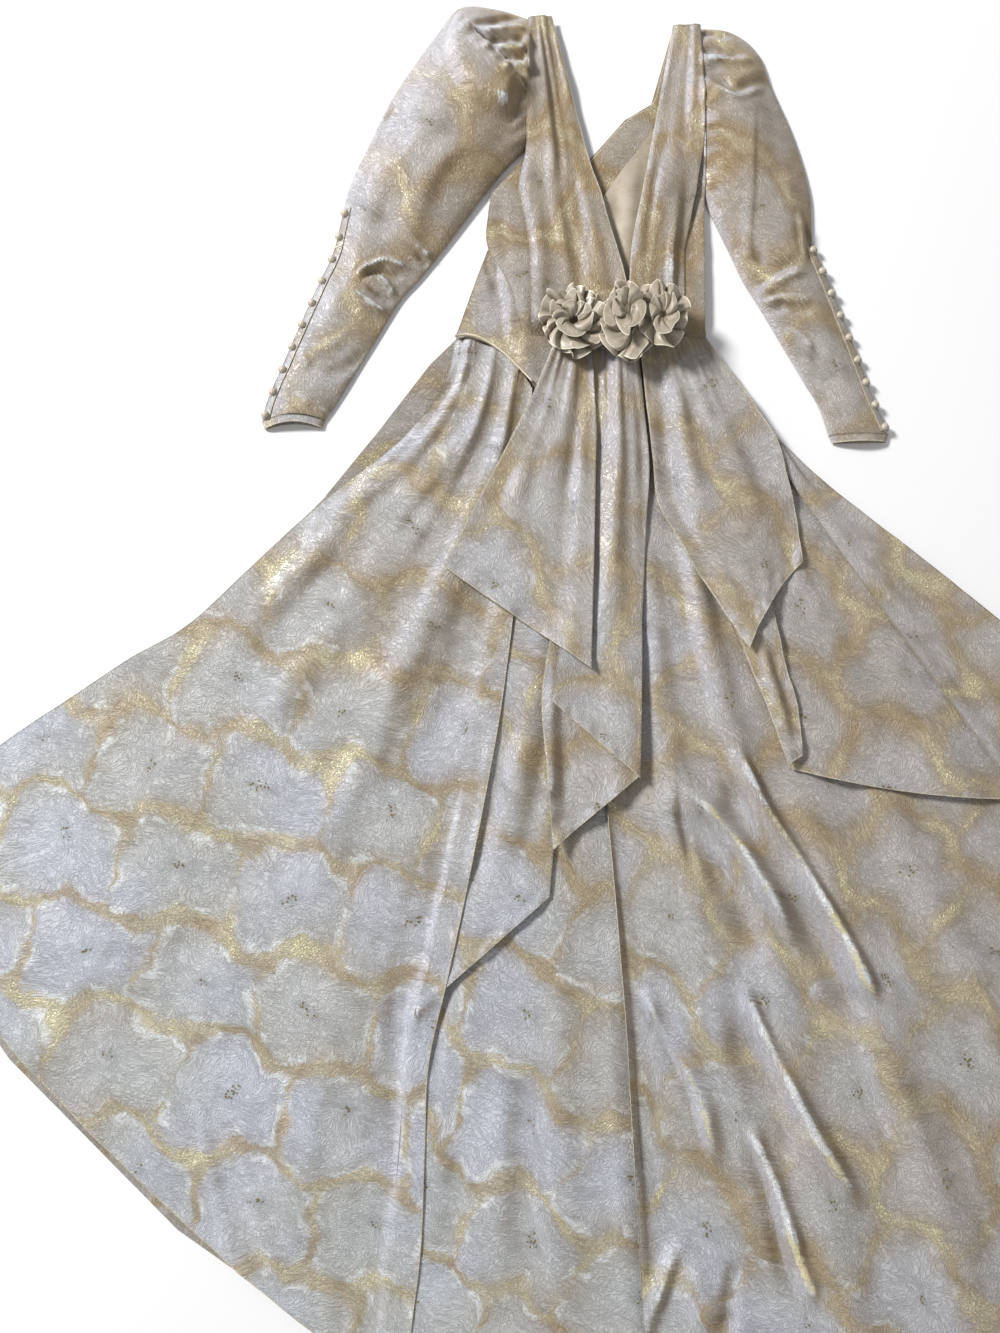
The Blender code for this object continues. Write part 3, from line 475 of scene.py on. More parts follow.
        # Every cell has its own tint.
        tag = add(Step.JOIN, column, row)
        tint = add(Step.TIMES_PLUS, add(Step.CHANCE, tag), 0.35, 0.33)
        drift = add(Step.TIMES_PLUS, cloudy, 1.3, tint)
        ground = add(Step.MIX, add(Step.EASE, drift, 0.25, 0.6), self.lilac, self.sage)
        ground = add(Step.MIX, add(Step.EASE, drift, 0.6, 0.95), ground, self.taupe)
        ground = add(Step.MIX, warm, ground, self.warm)
        light = add(Step.MIX, warm, self.cool_light, self.warm_light)
        centre = add(Step.EASE, radius, 62 * MM, 25 * MM)
        glow = add(Step.TIMES_PLUS, body, 0.22, add(Step.TIMES, centre, 0.16))
        glow = add(Step.TIMES_PLUS, vein, 0.38, glow)
        ground = add(Step.MIX, glow, ground, light)

        # Beside a band the ground takes on a tan cast, stronger up the gown with the painted warm light,
        # and a painted shade of the same tan darkens the bodice round the bust.
        cast = add(Step.EASE, clear, 30 * MM, 0.0)
        strength = add(Step.RANGE, warm, 0.0, 1.0, 0.20, 0.66)
        cast = add(Step.TIMES_PLUS, breast, 0.42, add(Step.TIMES, cast, strength), use_clamp=True)
        ground = add(Step.MIX, cast, ground, self.tan)

        # A small sprig of knots stands in the middle of each cell.
        seeds = add(Step.EASE, add(Step.SPECKS, cloth, 1 / (4.6 * MM), 0.75), 0.48, 0.32)
        sprig = add(Step.TIMES, add(Step.EASE, radius, 9.5 * MM, 8.0 * MM), seeds)
        ground = add(Step.MIX, silver, add(Step.MIX, sprig, ground, self.knot), self.flank)

        # Metal thread thins out at the edge of a band into single specks, partly the thread's own
        # pale gold and partly painted glint. The real grain is finer than a millimetre; it is drawn at
        # 2.4 mm so that it shows.
        worn = add(Step.NOISE, cloth, 1 / (80 * MM), 1.0)
        metal = add(Step.MIX, add(Step.EASE, worn, 0.45, 0.62), self.old_gold, self.brown_gold)
        colour = add(Step.MIX, add(Step.TIMES, gold, 0.80), ground, metal)
        grain = add(Step.NOISE, cloth, 1 / (2.4 * MM), 1.0)
        dense = add(Step.EASE, frayed, 11 * MM, -6 * MM)
        bright = add(Step.TIMES_PLUS, worn, -1.1, 0.76)
        dense = add(Step.TIMES, dense, bright)
        glint = add(Step.EASE, add(Step.TIMES_PLUS, dense, 0.80, grain), 0.70, 0.98)
        glint = add(Step.TIMES, glint, add(Step.EASE, frayed, 13 * MM, 8 * MM))
        colour = add(Step.MIX, glint, colour, self.glitter)

        # Painted shade and highlight: a tan shade on slopes that lean away from the key light, a dark
        # shade in the hollows, and a lilac-silver highlight on slopes that lean to the light.
        painted_light = add(Step.MAP, uv_map="painted_light")
        lean = add(Step.EASE, add(Step.PART, painted_light), 0.52, 0.92)
        lean = add(Step.TIMES, lean, 0.55)
        colour = add(Step.MIX, lean, colour, self.lean_shade)
        lie = add(Step.PART, painted_light, out=1)
        sunk = add(Step.RANGE, lie, 0.5, 1.0, 0.0, 0.50)
        colour = add(Step.MIX, sunk, colour, self.hollow)
        shine = add(Step.EASE, add(Step.PART, painted_light), 0.40, 0.14)
        shine = add(Step.TIMES, shine, 0.42)
        colour = add(Step.MIX, shine, colour, self.sheen)

        # Painted highlight: on a sharp crest a pale glare, white or pale gold, is drawn in ragged lengths.
        crest = add(Step.EASE, add(Step.TIMES_PLUS, fray, 32.0, lie), 0.25, 0.0)
        crest = add(Step.TIMES, crest, 0.8)
        gleam = add(Step.MIX, add(Step.EASE, worn, 0.52, 0.60), self.gleam, self.glitter)
        colour = add(Step.MIX, crest, colour, gleam)

        # A turned hem shows a thin pale line and a seam a thin dark one.
        edges = add(Step.MAP, uv_map="edges")
        turned = add(Step.EASE, add(Step.PART, edges), 2.6 * MM, 1.2 * MM)
        colour = add(Step.MIX, turned, colour, self.hem_light)
        seamed = add(Step.EASE, add(Step.PART, edges, out=1), 2.4 * MM, 0.8 * MM)
        seamed = add(Step.TIMES, seamed, 0.45)
        colour = add(Step.MIX, seamed, colour, self.hollow)

        # The real weave is far finer than a render shows; it is drawn at 1.6 mm.
        weave = add(Step.NOISE, cloth, 1 / (1.6 * MM), 1.0)
        relief = add(Step.TIMES_PLUS, weave, 0.45, add(Step.TIMES_PLUS, vein, 0.7, body))
        bump = add(Step.BUMP, relief, 0.8 * MM, 0.8)
        rough = add(Step.RANGE, gold, 0.0, 1.0, 0.50, 0.38)
        metallic = add(Step.TIMES, glint, 0.35)
        return make.close(add(Step.SURFACE, colour, rough, bump, 0.10, 0.4, 1.5, metallic))


@dataclass(frozen=True)
class Satin:
    """Plain satin: long floats of yarn that give broad soft highlights and a little slub.

    It reads the maps "cloth", "edges" and the map of painted light, of which only the hollow counts, as
    painted shade.
    """

    name: str
    body: str
    shadow: str
    light: str
    roughness: float = 0.42
    lit_edge: float = 0.0  # how much the free edge of a ruffle is lighter
    deep: str = "5C4F3E"  # painted shade at the bottom of a fold

    def build(self) -> bpy.types.Material:
        """Make the material.

        Returns:
            The satin.
        """
        make = Recipe(self.name)
        add = make.add
        cloth = add(Step.MAP, uv_map="cloth")
        stretched = add(Step.V_TIMES, cloth, (1 / (9 * MM), 1 / (2 * MM), 1.0))
        slub = add(Step.NOISE, stretched, 1.0, 2.0)
        cloud = add(Step.NOISE, cloth, 1 / (30 * MM), 2.0)
        colour = add(Step.MIX, add(Step.EASE, cloud, 0.35, 0.7), self.body, self.shadow)
        colour = add(Step.MIX, add(Step.EASE, slub, 0.55, 0.8), colour, self.light)
        edges = add(Step.MAP, uv_map="edges")
        rim = add(Step.EASE, add(Step.PART, edges), 3.5 * MM, 0.5 * MM)
        rim = add(Step.TIMES, rim, self.lit_edge)
        colour = add(Step.MIX, rim, colour, self.light)
        # Painted shade: the hollows are darkened towards the fold colour.
        painted_light = add(Step.MAP, uv_map="painted_light")
        sunk = add(Step.RANGE, add(Step.PART, painted_light, out=1), 0.5, 1.0, 0.0, 0.8)
        colour = add(Step.MIX, sunk, colour, self.deep)
        bump = add(Step.BUMP, slub, 0.25 * MM, 0.5)
        return make.close(add(Step.SURFACE, colour, self.roughness, bump, 0.15, 0.35, 1.5))


@dataclass(frozen=True)
class Yarn:
    """Wound or bound thread: covered buttons, loops and cut edges, read on Object coordinates."""

    name: str
    body: str
    light: str
    grain: float
    roughness: float = 0.5

    def build(self) -> bpy.types.Material:
        """Make the material.

        Returns:
            The yarn finish.
        """
        make = Recipe(self.name)
        add = make.add
        place = add(Step.PLACE)
        fleck = add(Step.NOISE, place, 1 / self.grain, 3.0)
        colour = add(Step.MIX, add(Step.EASE, fleck, 0.40, 0.65), self.body, self.light)
        bump = add(Step.BUMP, fleck, 0.3 * MM, 0.6)
        return make.close(add(Step.SURFACE, colour, self.roughness, bump, 0.2, 0.4, 1.5))


@dataclass
class Finishes:
    """Every finish of the gown, made once."""

    brocade: bpy.types.Material = field(init=False)
    lining: bpy.types.Material = field(init=False)
    petals: bpy.types.Material = field(init=False)
    piping: bpy.types.Material = field(init=False)
    button: bpy.types.Material = field(init=False)
    cut_edge: bpy.types.Material = field(init=False)

    def __post_init__(self) -> None:
        """Build the materials."""
        self.brocade = Brocade().build()
        self.lining = Satin("woven lining satin", "BDB19E", "A99B86", "CBC0AE", 0.62).build()
        self.petals = Satin("crisp ribbon satin", "BBB09F", "9E907C", "F0E7D5", 0.36, 0.9).build()
        self.piping = Yarn("corded piping satin", "CDBFA6", "E4D9C4", 2 * MM).build()
        self.button = Yarn("satin covered button", "B4A897", "D6CCBD", 2 * MM, 0.42).build()
        self.cut_edge = Yarn("bound cut edge", "A89B83", "C9BEA8", 3 * MM).build()


# ------------------------------------------------------------------------------- listed form
@dataclass(frozen=True)
class Crease:
    """A soft ridge or trough drawn on the cloth.

    route is in centimetres from the middle of the waist, height in millimetres (a trough is
    less than nothing), width the half width in centimetres. lean above 0 makes the right-hand
    side of the run longer and the left-hand side steeper.
    """

    route: tuple
    height: float
    width: float
    lean: float = 0.0
    fade: float = 0.35

    def lift(self, x: np.ndarray, y: np.ndarray) -> np.ndarray:
        """Work out the rise at points given in metres from the waist.

        Args:
            x: metres to the right.
            y: metres towards the neck.

        Returns:
            The rise in metres, in the same shape.
        """
        knots = np.array(self.route) * CM
        path = spline(knots, np.linspace(0, len(knots) - 1, CREASE_STEPS * (len(knots) - 1) + 1))
        spans = np.linalg.norm(np.diff(path, axis=0), axis=1)
        run = np.concatenate([[0.0], np.cumsum(spans)])
        total = np.zeros(x.shape)
        width = self.width * CM
        reach = width * (1 + abs(self.lean)) * 3.2
        low, high = path.min(0) - reach, path.max(0) + reach
        near = (x > low[0]) & (x < high[0]) & (y > low[1]) & (y < high[1])
        if not near.any():
            return total
        spots = np.column_stack([x[near], y[near]])
        best = np.full(len(spots), np.inf)
        share = np.zeros(len(spots))
        side = np.zeros(len(spots))
        for start, end, span, done in zip(path[:-1], path[1:], spans, run):
            step = (end - start) / span
            off = spots - start
            t = np.clip(off @ step, 0, span)
            gap = off - t[:, None] * step
            distance = np.hypot(gap[:, 0], gap[:, 1])
            closer = distance < best
            best[closer] = distance[closer]
            share[closer] = (done + t[closer]) / run[-1]
            turned = step[0] * off[:, 1] - step[1] * off[:, 0]
            side[closer] = np.sign(turned[closer])
        start_x, start_y = knots[0]
        uneven = 1 + 0.18 * np.sin(share * 9.0 + start_x * 80) + 0.10 * np.sin(share * 23.0 + start_y * 50)
        local = width * (1 - self.lean * side) * (0.85 + 0.3 * share)
        q = best / local
        ends = smoothstep(share / self.fade) * smoothstep((1 - share) / self.fade)
        total[near] = self.height * MM * uneven * ends * (1 - 0.42 * q ** 2) * np.exp(-0.62 * q ** 2)
        return total


@dataclass(frozen=True)
class LetOut:
    """An edge let out over a seam, so that two pieces meet with no gap.

    out and lift are pairs of a share along the edge and its millimetres, outwards and upwards;
    reach is how far in from the edge the change runs, in centimetres.
    """

    side: Side
    out: tuple
    lift: tuple = ((0.0, 0.0),)
    reach: float = 3.0

    def apply(self, net: Net) -> None:
        """Move the points of a net.

        Args:
            net: the net to change.
        """
        away = {Side.LEFT: (0, -1), Side.RIGHT: (0, 1), Side.TOP: (1, 1), Side.HEM: (1, -1)}
        axis, sign = away[self.side]
        across, down = net.shares()
        along = across if axis == 1 else down
        weight = smoothstep(1 - net.edge_distances()[self.side] / (self.reach * CM))
        for column, pairs, way in ((axis, self.out, sign), (2, self.lift, 1)):
            places, amounts = zip(*pairs)
            net.points[:, :, column] += way * MM * weight * np.interp(along, places, amounts)


@dataclass(frozen=True)
class Gathers:
    """Uneven gathers that run out of a seam.

    height is in millimetres, reach in centimetres, span the shares of the seam that it covers.
    """

    side: Side
    count: int
    height: float
    reach: float
    seed: int
    span: tuple = (0.0, 1.0)

    def lift(self, shares: np.ndarray, distance: np.ndarray) -> np.ndarray:
        """Work out the rise from the place along the seam and the distance from it.

        Args:
            shares: place along the seam, 0 to 1.
            distance: metres from the seam.

        Returns:
            The rise in metres.
        """
        draw = random.Random(self.seed)
        low, high = self.span
        step = (high - low) / self.count
        total = np.zeros(shares.shape)
        for index in range(self.count):
            centre = low + step * (index + 0.5 + draw.uniform(-0.28, 0.28))
            width = step * draw.uniform(0.26, 0.42)
            reach = self.reach * CM * draw.uniform(0.45, 1.25)
            height = self.height * MM * draw.uniform(0.55, 1.25)
            drift = draw.uniform(-0.5, 0.5) * step
            q = (shares - centre - drift * distance / reach) / width
            grow = 0.55 + 0.45 * smoothstep(distance / (1.5 * CM))
            total += (height * grow * (1 - 0.45 * q ** 2) * np.exp(-0.6 * q ** 2)
                      * np.exp(-(distance / reach) ** 2))
        return total


@dataclass(frozen=True)
class Grain:
    """How the cloth's pattern lies on a piece: its turn in degrees and its shift in centimetres."""

    turn: float
    across: float = 0.0
    down: float = 0.0

    def map(self, x: np.ndarray, y: np.ndarray, taken: np.ndarray) -> np.ndarray:
        """Give the cloth's own coordinates in metres.

        Args:
            x: metres to the right of the waist.
            y: metres towards the neck.
            taken: metres of cloth that the folds take up at each point.

        Returns:
            Two columns: along the rows of the pattern, and across them.
        """
        turn = math.radians(self.turn)
        u = x * math.cos(turn) + y * math.sin(turn) + self.across * CM + taken
        v = y * math.cos(turn) - x * math.sin(turn) + self.down * CM + 0.5 * taken
        return np.column_stack([u.ravel(), v.ravel()])


# ------------------------------------------------------------------------------- nets
@dataclass
class Net:
    """The outer face of a piece of cloth as rows of points, from the neck towards the hem."""

    points: np.ndarray
    tube: bool = False

    @classmethod
    def read(cls, node: bpy.types.Object, tube: bool) -> Net:
        """Read the net out of a solid of the frame.

        Args:
            node: the solid, whose mesh is loose triangles.
            tube: whether the piece is a tube, whose whole outer face is wanted.

        Returns:
            The net.
        """
        bm = bmesh.new()
        bm.from_mesh(node.data)
        bmesh.ops.remove_doubles(bm, verts=bm.verts, dist=WELD)
        bm.normal_update()
        cls.keep_upper(bm)
        rows = cls.walk(bm, cls.undo_diagonals(bm))
        points = np.array([[vert.co[:] for vert in row] for row in rows])
        bm.free()
        if tube and points[0, :, 2].mean() < points[:, 0, 2].mean():
            points = np.swapaxes(points, 0, 1)  # a tube's open ends stand higher than its sides
        if points[0, :, 1].mean() < points[-1, :, 1].mean():
            points = points[::-1]
        if points[:, 0, 0].mean() > points[:, -1, 0].mean():
            points = points[:, ::-1]
        if tube:
            points = np.concatenate([points, cls.floor_of(points)], axis=1)
        return cls(points.copy(), tube)

    @staticmethod
    def keep_upper(bm: bmesh.types.BMesh) -> None:
        """Keep the largest loose part of the faces that look up."""
        left = {face for face in bm.faces if face.normal.z > UPWARD}
        parts = []
        while left:
            part, front = set(), [left.pop()]
            while front:
                face = front.pop()
                part.add(face)
                for other in [other for edge in face.edges for other in edge.link_faces if other in left]:
                    left.discard(other)
                    front.append(other)
            parts.append(part)
        upper = max(parts, key=lambda part: sum(face.calc_area() for face in part))
        bmesh.ops.delete(bm, geom=[face for face in bm.faces if face not in upper], context="FACES")

    @staticmethod
    def floor_of(points: np.ndarray) -> np.ndarray:
        """Give the columns that close a tube along the floor, from its right edge to its left."""
        shares = np.array(FLOOR_SHARES)
        floor = np.zeros((len(points), len(shares), 3))
        for row, line in enumerate(points):
            steps = np.linalg.norm(np.diff(line[:, :2], axis=0), axis=1)
            run = np.concatenate([[0.0], np.cumsum(steps)])
            for axis in (0, 1):
                floor[row, :, axis] = np.interp(shares * run[-1], run, line[:, axis])
        return floor

    @staticmethod
    def undo_diagonals(bm: bmesh.types.BMesh) -> set:
        """Join the triangles in pairs and say which edges run across the piece.

        In every triangle the edges go round in the same order: diagonal, across, down.

        Args:
            bm: triangles, which become quads.

        Returns:
            The edges that run across.
        """
        first = next(f for f in bm.faces if sum(e.is_boundary for e in f.edges) == 2)
        diagonal_at = {first: next(k for k, loop in enumerate(first.loops) if not loop.edge.is_boundary)}
        front = [first]
        while front:
            face = front.pop()
            at = diagonal_at[face]
            for step in range(3):
                edge = face.loops[(at + step) % 3].edge
                for other in edge.link_faces:
                    if other not in diagonal_at:
                        mate = next(k for k, loop in enumerate(other.loops) if loop.edge == edge)
                        diagonal_at[other] = (mate - step) % 3
                        front.append(other)
        diagonals, across = set(), set()
        for face, at in diagonal_at.items():
            diagonals.add(face.loops[at].edge)
            across.add(face.loops[(at + 1) % 3].edge)
        bmesh.ops.dissolve_edges(bm, edges=list(diagonals), use_verts=False)
        return across

    @staticmethod
    def walk(bm: bmesh.types.BMesh, across: set) -> list:
        """Put the corners of the quads in rows.

        Args:
            bm: the quads.
            across: the edges that run across the piece.

        Returns:
            Rows of vertices.
        """
        row, last = [next(vert for vert in bm.verts if len(vert.link_faces) == 1)], None
        while True:
            ahead = [e for e in row[-1].link_edges if e.is_boundary and e in across and e != last]
            if not ahead:
                break
            last = ahead[0]
            row.append(last.other_vert(row[-1]))
        rows, used = [row], set()
        while True:
            following = []
            for first, second in zip(row[:-1], row[1:]):
                edge = bm.edges.get((first, second))
                face = next((f for f in edge.link_faces if f not in used), None)
                if face is None:
                    return rows
                used.add(face)
                sides = [side for side in face.edges if side != edge]
                if not following:
                    following.append(next(e.other_vert(first) for e in sides if first in e.verts))
                following.append(next(e.other_vert(second) for e in sides if second in e.verts))
            row = following
            rows.append(row)

    def finer(self, pitch: float) -> Net:
        """Draw the net finer with smooth curves through its points.

        Args:
            pitch: the wanted spacing.

        Returns:
            The finer net.
        """
        points = self.points
        length = np.linalg.norm(np.diff(points, axis=0), axis=2).sum(0).mean()
        ring = np.concatenate([points, points[:, :1]], axis=1) if self.tube else points
        width = np.linalg.norm(np.diff(ring, axis=1), axis=2).sum(1).max()
        rows = max(3, round(length / pitch) + 1)
        columns = max(3, round(width / pitch) + 1)
        points = spline(points, np.linspace(0, len(points) - 1, rows))
        points = np.swapaxes(points, 0, 1)
        if self.tube:
            points = spline(points, np.linspace(0, len(points), columns, endpoint=False), closed=True)
        else:
            points = spline(points, np.linspace(0, len(points) - 1, columns))
        return Net(np.swapaxes(points, 0, 1).copy(), self.tube)

    def painted_light(self) -> np.ndarray:
        """Give each point's painted light: its lean away from the key light and its lie, crest 0 to hollow
        1.
        """
        over = np.gradient(self.points, axis=1)
        down = np.gradient(self.points, axis=0)
        normal = np.cross(down, over)
        normal /= np.maximum(np.linalg.norm(normal, axis=2, keepdims=True), 1e-9)
        normal *= np.where(normal[:, :, 2:] < 0, -1, 1)
        lean = 0.5 + LEAN_GAIN * (normal[:, :, 0] * LEAN_TO[0] + normal[:, :, 1] * LEAN_TO[1])
        height = self.points[:, :, 2]
        step = np.linalg.norm(np.diff(self.points, axis=0), axis=2).mean()
        around = height
        for _ in range(max(1, round((HOLLOW_REACH / step) ** 2))):
            around = soften(around)
        hollow = 0.5 + 0.5 * (around - height) / HOLLOW_DEPTH
        return np.clip(np.column_stack([lean.ravel(), hollow.ravel()]), 0, 1)

    def edge_distances(self) -> dict[Side, np.ndarray]:
        """Measure along the net from each edge, in metres."""
        down = np.linalg.norm(np.diff(self.points, axis=0), axis=2)
        down = np.vstack([np.zeros((1, down.shape[1])), np.cumsum(down, axis=0)])
        over = np.linalg.norm(np.diff(self.points, axis=1), axis=2)
        over = np.hstack([np.zeros((over.shape[0], 1)), np.cumsum(over, axis=1)])
        return {
            Side.TOP: down,
            Side.HEM: down[-1:] - down,
            Side.LEFT: over,
            Side.RIGHT: over[:, -1:] - over,
        }

    def shares(self) -> tuple[np.ndarray, np.ndarray]:
        """Give each point's place across and down as shares."""
        rows, columns = self.points.shape[:2]
        across, down = np.meshgrid(np.linspace(0, 1, columns), np.linspace(0, 1, rows))
        return across, down

    def faces(self) -> list:
        """List the quads with their normals turned up or outwards."""
        rows, columns = self.points.shape[:2]
        last = columns if self.tube else columns - 1
        quads = []
        for row in range(rows - 1):
            upper, lower = row * columns, (row + 1) * columns
            for at in range(last):
                beside = (at + 1) % columns
                quads.append((upper + at, lower + at, lower + beside, upper + beside))
        outer = self.points[:, :round(OUTER_SHARE * columns)]
        down = np.diff(outer, axis=0)[:, :-1]
        over = np.diff(outer, axis=1)[:-1]
        if np.cross(down, over)[:, :, 2].sum() < 0:
            quads = [quad[::-1] for quad in quads]
        return quads


@dataclass
class Heap:
    """The pieces laid so far, which the next piece comes to rest on."""

    layers: list = field(default_factory=list)

    def add(self, name: str, points: np.ndarray, faces: list) -> None:
        """Add a finished piece's upper face."""
        flat = [tuple(map(float, p)) for p in points]
        tree = BVHTree.FromPolygons(flat, faces)
        self.layers.append((name, tree, points.min(0), points.max(0)))

    def top(self, x: np.ndarray, y: np.ndarray) -> tuple[np.ndarray, list[str]]:
        """Feel for the highest layer under each point.

        Args:
            x: places to the right, in the frame.
            y: places towards the neck.

        Returns:
            The heights, nothing where only the floor is below, and the layers that were met.
        """
        heights = np.zeros(x.size)
        met = []
        down = Vector((0, 0, -1))
        flat_x, flat_y = x.ravel(), y.ravel()
        for name, tree, low, high in self.layers:
            inside = np.nonzero(
                (flat_x > low[0]) & (flat_x < high[0]) & (flat_y > low[1]) & (flat_y < high[1]))[0]
            touched = False
            for k in inside:
                hit = tree.ray_cast(Vector((flat_x[k], flat_y[k], ABOVE)), down)[0]
                if hit is not None:
                    touched = True
                    if hit.z > heights[k]:
                        heights[k] = hit.z
            if touched:
                met.append(name)
        return heights.reshape(x.shape), met


def spread(field_in: np.ndarray, passes: int) -> np.ndarray:
    """Ease a lift out over its neighbours without letting it sink anywhere."""
    out = field_in.copy()
    for _ in range(passes):
        out = np.maximum(field_in, soften(out))
    return out


# ------------------------------------------------------------------------------- cloth pieces
@dataclass(frozen=True)
class Cut:
    """One cut piece of cloth and how it lies.

    pitch is the spacing of its net in millimetres, hems its free edges, curl how far a hem lifts
    in millimetres, rumple the height of its small unevenness in millimetres.
    """

    node: str
    pitch: float
    grain: Grain
    held: Held = Held.LAID
    hems: tuple = ()
    sinks: tuple = ()  # edges that run on into the cloth below, where the two are one
    let_out: tuple = ()  # edges let out over a seam
    settled: bool = False  # lies close on whatever is below
    creases: tuple = ()
    gathers: tuple = ()
    curl: float = 0.0
    rumple: float = 0.8
    depth: float = 1.0  # how much of the creases' and gathers' height is kept
    eased: int = 0  # how many times the solid's own ridges are smoothed
    tube: bool = False
    level: bool = False  # a plain layer that lies flat on the floor
    satin: bool = False


@dataclass
class Workroom:
    """Where the pieces are made: the frame, the finishes and what has been laid so far."""

    frame: dict
    finishes: Finishes
    heap: Heap = field(default_factory=Heap)
    waist: Vector = field(init=False)

    def __post_init__(self) -> None:
        """Find the middle of the waist from the far side of the bodice."""
        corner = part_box("bodice_far_left")[0]
        self.waist = Vector((corner.x + WAIST_FROM_CORNER[0], corner.y + WAIST_FROM_CORNER[1]))

    def lay(self, cut: Cut) -> bpy.types.Object:
        """Make one piece of cloth and lay it on the pieces below it.

        Args:
            cut: the piece.

        Returns:
            The finished object.
        """
        if cut.level:
            return self.lay_level(cut)
        wall = SATIN_WALL if cut.satin else WALL
        coarse = Net.read(self.frame["nodes"][cut.node], cut.tube)
        for _ in range(cut.eased):
            coarse.points[1:-1, 1:-1, 2] = soften(coarse.points[:, :, 2])[1:-1, 1:-1]
        net = coarse.finer(cut.pitch * MM)
        points = net.points
        for change in cut.let_out:
            change.apply(net)
        x = points[:, :, 0] - self.waist.x
        y = points[:, :, 1] - self.waist.y
        rise = self.rise(cut, net, x, y)
        if cut.tube:
            top_columns = coarse.points.shape[1] - len(FLOOR_SHARES) - 1
            place = np.arange(points.shape[1]) / points.shape[1] * coarse.points.shape[1]
            weight = smoothstep(place / SHOULDER) * smoothstep((top_columns - place) / SHOULDER)
            upper = place <= top_columns
            points[:, :, 2] = np.maximum(points[:, :, 2], 0.0)
            lifted = points[:, :, 2] + rise * weight
            least = 2 * wall + TUBE_AIR
            body = np.maximum(lifted, np.minimum(points[:, :, 2], least))
            points[:, upper, 2] = body[:, upper]
            met = []
        else:
            below, met = self.heap.top(points[:, :, 0], points[:, :, 1])
            points[:, :, 2] += rise
            if cut.settled:
                points[:, :, 2] = rise
            need = np.maximum(below + PLY_GAP, FLOOR_GAP) + wall - points[:, :, 2]
            points[:, :, 2] += spread(np.maximum(need, 0.0), LIFT_PASSES)
            distances = net.edge_distances()
            for side in cut.sinks:
                share = smoothstep(1 - distances[side] / SINK_REACH)
                seat = np.maximum(below - SINK_DEPTH, wall + FLOOR_GAP)
                points[:, :, 2] += share * np.minimum(seat - points[:, :, 2], 0.0)
        return self.finish(cut, net, x, y, rise, wall, met)

    def rise(self, cut: Cut, net: Net, x: np.ndarray, y: np.ndarray) -> np.ndarray:
        """Add up the creases, gathers, curling hems and unevenness of a piece.

        Args:
            cut: the piece.
            net: its fine net.
            x: metres to the right of the waist.
            y: metres towards the neck.

        Returns:
            The rise at each point of the net.
        """
        seed = sum(map(ord, cut.node))
        broad, small = RUMPLE_SIZES
        total = cut.rumple * MM * (ripple(x, y, broad, seed) + 0.45 * ripple(x, y, small, seed + 1))
        for row in cut.creases:
            total += cut.depth * Crease(*row).lift(x, y)
        distances = net.edge_distances()
        over_width = smoothstep(distances[Side.LEFT][:, -1:] / (12 * CM))
        across, down = net.shares()
        for gathers in cut.gathers:
            shares = across if gathers.side in (Side.TOP, Side.HEM) else down
            total += cut.depth * gathers.lift(shares, distances[gathers.side])
        for side in cut.hems:
            along = across if side in (Side.TOP, Side.HEM) else down
            near = smoothstep(1 - distances[side] / HEM_REACH)
            wavy = 0.65 + 0.35 * np.sin(along * 21 + seed) + 0.2 * np.sin(along * 47 + seed)
            room = over_width if side in (Side.TOP, Side.HEM) else 1.0
            total += cut.curl * MM * near * (1 + room * (wavy - 1))
        return total

    def lay_level(self, cut: Cut) -> bpy.types.Object:
        """Make a layer that lies flat on the floor from the outline of its solid.

        Args:
            cut: the piece.

        Returns:
            The finished object.
        """
        bm = bmesh.new()
        bm.from_mesh(self.frame["nodes"][cut.node].data)
        bmesh.ops.remove_doubles(bm, verts=bm.verts, dist=WELD)
        bm.normal_update()
        Net.keep_upper(bm)
        for _ in range(6):
            long = [edge for edge in bm.edges if edge.calc_length() > 2 * cut.pitch * MM]
            if not long:
                break
            bmesh.ops.subdivide_edges(bm, edges=long, cuts=1)
            bmesh.ops.triangulate(bm, faces=bm.faces)
        bm.verts.index_update()
        flat = np.array([vert.co[:] for vert in bm.verts])
        faces = [tuple(vert.index for vert in face.verts) for face in bm.faces]
        bm.free()
        flat[:, 2] = WALL + FLOOR_GAP
        x, y = flat[:, 0] - self.waist.x, flat[:, 1] - self.waist.y
        maps = {
            "cloth": cut.grain.map(x, y, np.zeros_like(x)),
            "edges": np.full((len(x), 2), FAR),
            "painted_light": np.full((len(x), 2), SHADED),
        }
        size = flat.max(0) - flat.min(0)
        return self.dress(cut, flat, faces, maps, WALL, (size[0], size[1]), [])

    def finish(self, cut: Cut, net: Net, x: np.ndarray, y: np.ndarray, rise: np.ndarray, wall: float,
               met: list[str]) -> bpy.types.Object:
        """Turn a laid net into a finished piece.

        Args:
            cut: the piece.
            net: its net, laid.
            x: metres to the right of the waist.
            y: metres towards the neck.
            rise: the folds' rise, of which the pattern takes account.
            wall: the cloth's thickness.
            met: the pieces under it.

        Returns:
            The object.
        """
        distances = net.edge_distances()
        to_hem = np.full(x.shape, FAR)
        for side in cut.hems:
            to_hem = np.minimum(to_hem, distances[side])
        sides = (Side.TOP, Side.HEM) if cut.tube else tuple(Side)
        to_seam = np.full(x.shape, FAR)
        for side in sides:
            if side not in cut.hems + cut.sinks:
                to_seam = np.minimum(to_seam, distances[side])
        maps = {
            "cloth": cut.grain.map(x, y, TAKE_UP * rise),
            "edges": np.column_stack([to_hem.ravel(), to_seam.ravel()]),
            "painted_light": net.painted_light(),
        }
        length = distances[Side.TOP][-1].max()
        width = distances[Side.LEFT][:, -1].max()
        return self.dress(cut, net.points.reshape(-1, 3), net.faces(), maps, wall, (width, length), met)

